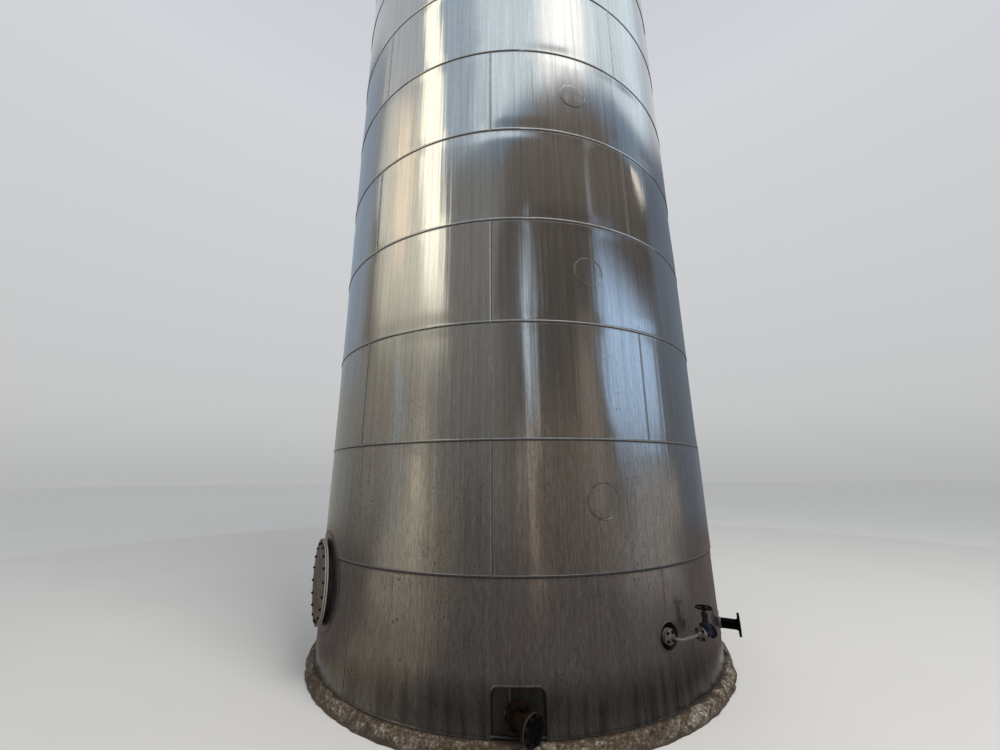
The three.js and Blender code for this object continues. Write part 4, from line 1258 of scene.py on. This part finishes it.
def add_sampling_point():
    """A flanged nozzle in a round cut-out, the thin pipe to the valve, bolts and the rolled collar."""
    flange, raised, pipe = 0.055, 0.029, 0.01065
    place = wall_frame(SAMPLING)
    around = place @ OUT
    neck = flanged_neck((0.0182, 0.0212), (flange, raised), -0.010, 0.0058)
    piece("sampling_nozzle_flanged", lathe(neck, 56, closed=True, edge=(0.0014, 2)), "galvanised_steel",
          "sampling_nozzle", around)

    plate = [(0, 0.0063), (raised, 0.0063), (0.030, 0.0074), (flange, 0.0074), (flange, 0.0220),
             (0.019, 0.0220), (0.015, 0.0290), (0, 0.0290)]
    valve = place @ shift(*VALVE_PLACE) @ turned(math.pi / 2)
    end = [(0, -0.0143), (0.050, -0.0140), (0.050, -0.0006), (0, -0.0006)]
    cone = [(0.0100, -0.034), (0.0128, -0.030), (0.0170, -0.0185), (0.0200, -0.0142), (0.0100, -0.0142)]
    line = Shape().add(lathe(plate, 56, edge=(0.0014, 2)), around)
    line.add(tube([place @ Vector(v) for v in sampling_route()], pipe, 24))
    line.add(weld(pipe, 0.0290), around)
    line.add(lathe(end, 48, edge=(0.0014, 2)), valve @ OUT)
    line.add(lathe(cone, 32, closed=True), valve @ OUT)
    piece("sampling_pipe_bent", line, "pipe_steel", "sampling_pipe")

    bolts = Shape()
    for direction, size, stub, radius, joint in ((OUT, 0.012, 0.005, 0.0400, place @ shift(0.022, 0, 0)),
                                                 (IN, 0.012, 0.004, 0.0400, place @ shift(-0.010, 0, 0)),
                                                 (IN, 0.011, 0.003, 0.0390, valve @ shift(-0.0140, 0, 0))):
        bolts.around(facing(direction, bolt_head(size, stub)), 4, radius, joint, math.radians(45))
    piece("sampling_bolts", bolts, "rusty_steel", material="black_rust")

    profile = [(0.0910, -0.0035), (0.0916, 0.0040), (0.0940, 0.0072), (0.0975, 0.0080), (0.1010, 0.0064),
               (0.1030, 0.0030), (0.1060, 0.0014), (0.1062, -0.0002), (0.0960, -0.0004), (0.0935, -0.0035)]
    collar = piece("sampling_collar_rolled", on_wall(lathe(profile, 72, closed=True), SAMPLING),
                   "cladding_steel", "sampling_collar")
    mark_rings(collar, wall_frame(SAMPLING, SHEET_OUT).translation,
               ((0.0890, 0.0960, 1), (0.0960, 0.1080, 0.72)))
    add_valve(valve)


def valve_body():
    """The globe body between its flanges, with the neck under the bonnet, along +X."""
    flow = [(0, 0.0008), (0.0495, 0.0008), (0.0495, 0.0135), (0.032, 0.0150), (0.027, 0.0210),
            (0.0290, 0.0300), (0.0360, 0.0440), (0.0385, 0.0580), (0.0385, 0.0720), (0.0360, 0.0860),
            (0.0290, 0.1000), (0.0270, 0.1080), (0.032, 0.1150), (0.0495, 0.1165), (0.0495, 0.1295),
            (0.0132, 0.1295), (0.0132, 0.1000), (0, 0.1000)]
    neck = [(0, 0), (0.033, 0), (0.031, 0.024), (0.0355, 0.0320), (0.0455, 0.0345), (0.0455, 0.0415),
            (0, 0.0415)]
    body = Shape().add(lathe(flow, 48), OUT)
    body.add(lathe(neck, 40), shift(VALVE_MIDDLE, 0, 0))
    return body.add(bar((0.060, 0.010, 0.030), 0.003), shift(VALVE_MIDDLE, 0, -0.028))


def valve_bonnet():
    """The bonnet with its gland and two ribs, along +Z."""
    profile = [(0, 0.0425), (0.0455, 0.0425), (0.0455, 0.0535), (0.032, 0.0560), (0.0250, 0.0650),
               (0.0215, 0.0780), (0.0210, 0.1000), (0.0214, 0.1160), (0.0240, 0.1230), (0.0240, 0.1370),
               (0.0160, 0.1410), (0.0130, 0.1458), (0.0068, 0.1458), (0.0068, 0.1170), (0, 0.1170)]
    bonnet = Shape().add(lathe(profile, 40))
    for side in (-1, 1):
        bonnet.add(bar((0.010, 0.007, 0.046), 0.002), shift(side * 0.0220, 0, 0.092))
    return bonnet


def handwheel():
    """A cast rim, hub and three cranked spokes, with the stem and its nut."""
    hub_height, radius = 0.172, 0.0565
    wheel = Shape().add(tube([(x, y, hub_height) for x, y in circle(radius, 48)], 0.0062, 14, closed=True))
    hub = [(0, -0.009), (0.0105, -0.009), (0.0120, -0.003), (0.0120, 0.004), (0.0095, 0.009), (0, 0.009)]
    wheel.add(lathe(hub, 32), shift(0, 0, hub_height))
    spoke = smooth_path([(0.006, 0, -0.001), (0.020, 0, -0.004), (0.038, 0, -0.004), (radius, 0, 0)], 4)
    for k in range(3):
        wheel.add(tube(spoke, 0.0048, 10), turned(math.radians(90 + 120 * k)) @ shift(0, 0, hub_height))
    rough = cast(wheel, "handwheel_rough", 0.0014, 2)
    melted = [v.co.copy() for v in rough.data.vertices], [tuple(p.vertices) for p in rough.data.polygons]
    bpy.data.objects.remove(rough)
    whole = Shape().add(melted).add(rod(0.0058, 0.117, 0.192, 24, (0.001, 2)))
    return whole.add(hex_part(0.016, 0.006), shift(0, 0, 0.1808))


def add_valve(valve):
    """A small flanged globe valve in cast iron, with its bonnet, gland and handwheel."""
    stem_line = valve @ shift(VALVE_MIDDLE, 0, 0)
    for name, shape, place, voxel in (("valve_body", valve_body(), valve, 0.0018),
                                      ("valve_bonnet", valve_bonnet(), stem_line, 0.0014)):
        thing = cast(shape, name + "_cast", voxel, 3)
        thing.data.transform(place)
        finish_piece(thing, "valve_paint", "sampling_" + name, sharp=60)

    bolts = Shape()
    for k in range(4):
        turn = math.radians(45 + 90 * k)
        bolts.add(bolt_head(0.009, 0.003), stem_line @ turned(turn) @ shift(0.0375, 0, 0.0535))
        around_flow = valve @ turned(turn, "X") @ shift(0, 0, 0.039)
        bolts.add(facing(OUT, bolt_head(0.011, 0.003)), around_flow @ shift(0.0137, 0, 0))
    piece("valve_bolts", bolts, "rusty_steel", material="black_rust")

    wheel = into_scene("handwheel_cast", handwheel().mesh("handwheel_cast"))
    wheel.data.transform(stem_line)
    finish_piece(wheel, "black_steel", "sampling_valve_handwheel", body="handwheel", sharp=50)


# Process nozzle

def add_process_nozzle():
    """A weld-neck flange with eight bolt holes, on a short pipe, and its rolled collar."""
    bore, pipe, flange, face = 0.0395, 0.0445, 0.100, 0.180
    place = wall_frame(PROCESS)
    neck = [(bore, -0.157), (pipe, -0.157), (pipe, 0.142), (0.052, 0.160), (flange, 0.160),
            (flange, 0.1785), (0.066, 0.1785), (0.065, face), (bore, face)]
    name = "process_nozzle_flanged"
    shape = Shape().add(lathe(neck, 72, closed=True, edge=(0.0016, 2)), place @ OUT)
    thing = into_scene(name, shape.mesh(name))
    hole = rod(0.009, 0.15, 0.19, 20)
    turns = [turned(math.radians(22.5 + 45 * k), "X") for k in range(8)]
    pierce(thing, [Shape().add(hole, place @ turn @ shift(0, 0, 0.080) @ OUT) for turn in turns])
    finish_piece(thing, "black_steel", "process_nozzle")

    collar = [(0.0452, 0.0150), (0.0470, 0.0150), (0.0480, 0.0060), (0.0540, 0.0030), (0.0960, 0.0024),
              (0.0990, 0.0040), (0.1003, 0.0026), (0.1005, -0.0002), (0.0480, -0.0004), (0.0452, 0.0040)]
    piece("process_collar_rolled", on_wall(lathe(collar, 72, closed=True), PROCESS),
          "cladding_steel", "process_collar")


# Finish of the CAD pieces that stay

def dress_cad_nodes():
    """Puts the vessel's and the insulation's materials on their CAD nodes."""
    for material, nodes in (("vessel_steel", ("vessel_floor", "vessel_wall", "vessel_roof")),
                            ("mineral_wool", ("insulation_lower", "insulation_upper", "roof_insulation"))):
        for node in nodes:
            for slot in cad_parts[node].material_slots:
                slot.material = MATERIALS[material]


# Camera, light and floor

def add_camera():
    """The photograph's camera: 3.1 m in front of the cladding at eye level, looking up."""
    pitch, yaw, roll = 0.2495, -0.0314, -0.0077
    forward = Vector((math.sin(yaw) * math.cos(pitch), math.cos(yaw) * math.cos(pitch), math.sin(pitch)))
    level = Vector((math.cos(yaw), -math.sin(yaw), 0))
    upright = level.cross(forward)
    right = level * math.cos(roll) + upright * math.sin(roll)
    up = upright * math.cos(roll) - level * math.sin(roll)
    data = bpy.data.cameras.new("photo_camera")
    data.sensor_width = 36.0
    data.lens = 14.45
    data.clip_end = 500.0
    camera = into_scene("photo_camera", data)
    camera.matrix_world = Matrix((right, up, -forward)).transposed().to_4x4()
    camera.location = (0.0, -5.2687, 1.768)
    bpy.context.scene.camera = camera


def add_key_light():
    """A soft square light, high at the right of the camera, that no metal mirrors."""
    data = bpy.data.lights.new("key", "AREA")
    data.shape = "RECTANGLE"
    data.size = data.size_y = 5.0
    data.energy = 1300
    data.color = (1.0, 0.98, 0.95)
    light = into_scene("key", data)
    turn, distance, height = math.radians(35), 9.0, 13.0
    spot = Vector((distance * math.sin(turn), -distance * math.cos(turn), height))
    aim = Vector((0, 0, 4.5))
    light.location = spot
    light.rotation_euler = (aim - spot).to_track_quat("-Z", "Y").to_euler()
    light.visible_camera = False
    light.visible_glossy = False


def glow(name, colour):
    """A soft-edged studio flat's material: it glows where its mesh covers, and is clear elsewhere."""
    g = Graph(name)
    light = g.field("ShaderNodeEmission", {"Color": (*colour, 1), "Strength": 1.0}, "Emission")
    clear = g.field("ShaderNodeBsdfTransparent", output="BSDF")
    both = g.field("ShaderNodeMixShader", {0: g.attribute("cover"), 1: clear, 2: light}, "Shader")
    g.node("ShaderNodeOutputMaterial", {"Surface": both})
    g.material.cycles.emission_sampling = "NONE"
    return g.material


def studio_flat(name, grid, cover, colour):
    """A card that only the sheet metal mirrors, from a grid of points with its cover at each."""
    rows, columns, _ = grid.shape
    name = "flat_" + name
    mesh = bpy.data.meshes.new(name)
    mesh.from_pydata(grid.reshape(-1, 3).tolist(), [], net(rows, columns, columns_meet=False))
    set_values(mesh, "cover", cover.ravel())
    mesh.materials.append(glow(name, colour))
    card = into_scene(name, mesh)
    for rays in ("camera", "diffuse", "shadow", "transmission", "volume_scatter"):
        setattr(card, "visible_" + rays, False)


def standing_card(name, radius, low, high, angles, soft, colour, crown=None):
    """A curved card between two levels, from a pair of angles at its foot to the last pair at its top.

    Soft is how far its left, right, lower and upper edges fade. A crown is (angle, rise a degree, bend):
    the top is at its full level at that angle, and off it by the rise and the bend elsewhere.
    """
    foot, top = angles[:2], angles[-2:]
    across, up = np.meshgrid(np.linspace(0, 1, 49), np.linspace(0, 1, 41))
    start = foot[0] + (top[0] - foot[0]) * up
    width = foot[1] - foot[0] + (top[1] - top[0] - foot[1] + foot[0]) * up
    angle = start + width * across
    limit = high
    if crown is not None:
        away = (angle - crown[0] + 180) % 360 - 180
        limit = high + np.maximum(crown[1] * away - crown[2] * away ** 2, -6.5)
    level = low + (limit - low) * up
    left, right, lower, upper = soft
    cover = smoothstep(0, left, width * across) * smoothstep(0, right, width * (1 - across))
    cover *= smoothstep(0, lower, level - low) * smoothstep(0, upper, limit - level)
    turn = np.radians(angle)
    grid = np.stack([radius * np.sin(turn), -radius * np.cos(turn), level], axis=2)
    studio_flat(name, grid, cover, colour)


def floor_card(name, level, inner, outer, start, end, soft, colour):
    """A card that lies on the floor around the tank."""
    out, across = np.meshgrid(np.linspace(inner, outer, 9), np.linspace(0, 1, 61), indexing="ij")
    turn = np.radians(start + (end - start) * across)
    cover = np.ones(turn.shape)
    if soft:
        cover = smoothstep(0, soft, (end - start) * across)
        cover *= smoothstep(0, soft, (end - start) * (1 - across))
    grid = np.stack([out * np.sin(turn), -out * np.cos(turn), np.full(turn.shape, level)], axis=2)
    studio_flat(name, grid, cover, colour)


def add_flats():
    """Cards around the tank: a dark surround, warm ones at the left, cool ones at the right and above."""
    for card in (
        ("floor", 0.004, 2.35, 12.9, -180, 180, 0, (0.165, 0.130, 0.118)),
        ("floor_strip", 0.008, 7.0, 12.7, 6.2, 14.0, 2.4, (0.80, 0.62, 0.45)),
        ("floor_left", 0.006, 2.35, 12.8, -68, -22, 13, (0.42, 0.34, 0.25)),
        ("floor_left_far", 0.008, 5.3, 12.7, -72, -39, 9, (0.84, 0.75, 0.60)),
        ("floor_right_far", 0.008, 5.3, 12.7, 41, 88, 10, (0.55, 0.49, 0.45)),
    ):
        floor_card(*card)
    whole = (-180, 180)
    edge = 0.001
    for card in (
        ("above", 13.4, 9, 44, (-64, 124), (18, 18, 4, 4), (0.56, 0.67, 0.78)),
        ("above_right", 13.3, 9, 44, (-28, 118), (14, 20, 4, 4), (0.98, 1.13, 1.22)),
        ("above_bright", 13.2, 16, 44, (10, 66), (22, 22, 5, 5), (1.95, 1.94, 1.90)),
        ("surround", 13.0, -6, 19.2, whole, (edge, edge, 1, 0.3), (0.24, 0.32, 0.43), (43, 0, 0.00088)),
        ("dark", 12.95, -6, 19.0, whole, (edge, edge, 1, 1.3), (0.185, 0.155, 0.132), (38, 0, 0.0020)),
        ("dark_low", 12.93, -6, 14.4, whole, (edge, edge, 1, 5.0), (0.100, 0.083, 0.068)),
        ("front_low", 12.9, -5, 5.5, (-70, 62), (14, 14, 3, 3.5), (0.24, 0.185, 0.135)),
        ("front_left", 12.85, -4, 16.5, (-52, 6, -46, 4), (14, 18, 3, 4), (0.27, 0.26, 0.24)),
        ("left_back", 12.8, -4, 24, (-152, -90), (12, 10, 4, 5), (0.36, 0.36, 0.33)),
        ("left_sky", 12.79, 3.5, 24, (-152, -95), (12, 12, 5, 5), (0.33, 0.39, 0.475)),
        ("left_low", 12.75, -4, 7.0, (-94, -34, -104, -34), (12, 8, 2, 2), (0.41, 0.375, 0.315)),
        ("left", 12.7, 4.6, 20, (-95, -34, -95, -42), (14, 7, 4, 4), (1.00, 0.94, 0.77)),
        ("left_gold", 12.65, 8.5, 19, (-79, -62), (5, 4, 3, 3), (1.42, 1.22, 0.95)),
        ("left_streak", 12.6, 6.2, 28, (-55, -33, -63, -46), (5, 5, 3.5, 3), (2.10, 2.0, 1.68)),
        ("left_blue", 12.58, -2, 7.8, (-68, -60), (2, 2, 2, 2.5), (0.54, 0.60, 0.60)),
        ("left_cream", 12.57, -2, 9.0, (-52, -44, -53, -46), (2, 2.5, 3, 3), (0.64, 0.60, 0.50)),
        ("left_foot", 12.55, -3, 3.4, (-66, -36, -60, -40), (9, 9, 1.2, 1.2), (1.05, 0.95, 0.74)),
        ("strip", 12.5, 2.2, 12.0, (5.0, 9.2, 6.6, 10.8), (1.4, 1.4, 2.4, 5.0), (1.30, 1.56, 1.80)),
        ("strip_thin", 12.5, 1.0, 11.0, (10.0, 11.8, 11.6, 13.4), (0.8, 0.8, 1.5, 5.0), (1.10, 1.32, 1.52)),
        ("strip_foot", 12.45, -0.5, 5.0, (6.6, 14.2, 6.4, 12.0), (2.2, 2.2, 0.4, 2.6), (0.72, 0.57, 0.43)),
        ("brown", 12.72, -3, 8.5, (29, 50, 33, 49), (7, 4, 3, 3.5), (0.37, 0.305, 0.245)),
        ("grey_band", 12.72, 10, 15.4, (46, 52), (2.5, 2.5, 2, 1.5), (0.36, 0.36, 0.37)),
        ("right", 12.7, 1.6, 12.0, (55.6, 91, 46.5, 93), (0.6, 7, 2.2, 3.6), (0.78, 1.08, 1.50),
         (47, -0.085, 0)),
        ("right_foot", 12.6, -3, 2.4, (56, 98), (8, 8, 1, 1), (0.55, 0.50, 0.44)),
        ("right_side", 12.75, -2, 17, (88, 172, 92, 172), (9, 14, 3, 2.5), (0.175, 0.205, 0.255)),
        ("right_glint", 12.65, 12.2, 15.0, (90, 97, 79, 86), (2, 2.5, 0.8, 0.8), (1.7, 1.5, 1.3)),
        ("back", 12.9, -4, 15, (138, 196), (16, 16, 3, 3), (0.62, 0.59, 0.52)),
        ("back_strip", 12.8, 1, 20, (150, 166), (6, 6, 3, 3), (1.2, 1.2, 1.2)),
    ):
        standing_card(*card)


def add_floor():
    """A wide, pale, dull floor."""
    g = Graph("studio_floor")
    colour = g.mix(g.noise((0.5, 0.5, 0.5), detail=3), (0.68, 0.665, 0.635), (0.73, 0.715, 0.685))
    mesh = bpy.data.meshes.new("studio_floor")
    reach = 120.0
    corners = [(-reach, -reach, 0), (reach, -reach, 0), (reach, reach, 0), (-reach, reach, 0)]
    mesh.from_pydata(corners, [], [(0, 1, 2, 3)])
    mesh.materials.append(g.finish({"Base Color": colour, "Roughness": 0.85}))
    into_scene("studio_floor", mesh)


def add_world():
    """An even, pale surround that is a little brighter and cooler above."""
    world = bpy.data.worlds.new("studio")
    world.use_nodes = True
    nodes = world.node_tree.nodes
    links = world.node_tree.links
    direction = nodes.new("ShaderNodeTexCoord")
    split = nodes.new("ShaderNodeSeparateXYZ")
    ramp = nodes.new("ShaderNodeValToRGB")
    links.new(direction.outputs["Generated"], split.inputs["Vector"])
    links.new(split.outputs["Z"], ramp.inputs["Fac"])
    set_stops(ramp, ((0.0, (0.465, 0.47, 0.472)), (0.14, (0.56, 0.565, 0.57)), (0.7, (0.64, 0.66, 0.69)),
                     (1.0, (0.54, 0.58, 0.64))))
    links.new(ramp.outputs["Color"], nodes["Background"].inputs["Color"])
    bpy.context.scene.world = world
    bpy.context.scene.view_settings.view_transform = "Standard"


add_camera()
add_world()
add_floor()
add_flats()
add_key_light()

add_foundation()
add_cladding()
add_rivets()
add_caps()
add_roof()
add_rim()
add_guard_rail()
add_vent_neck()
add_vent_hood()
add_manway()
add_outlet()
add_outlet_surround()
add_sampling_point()
add_process_nozzle()
dress_cad_nodes()
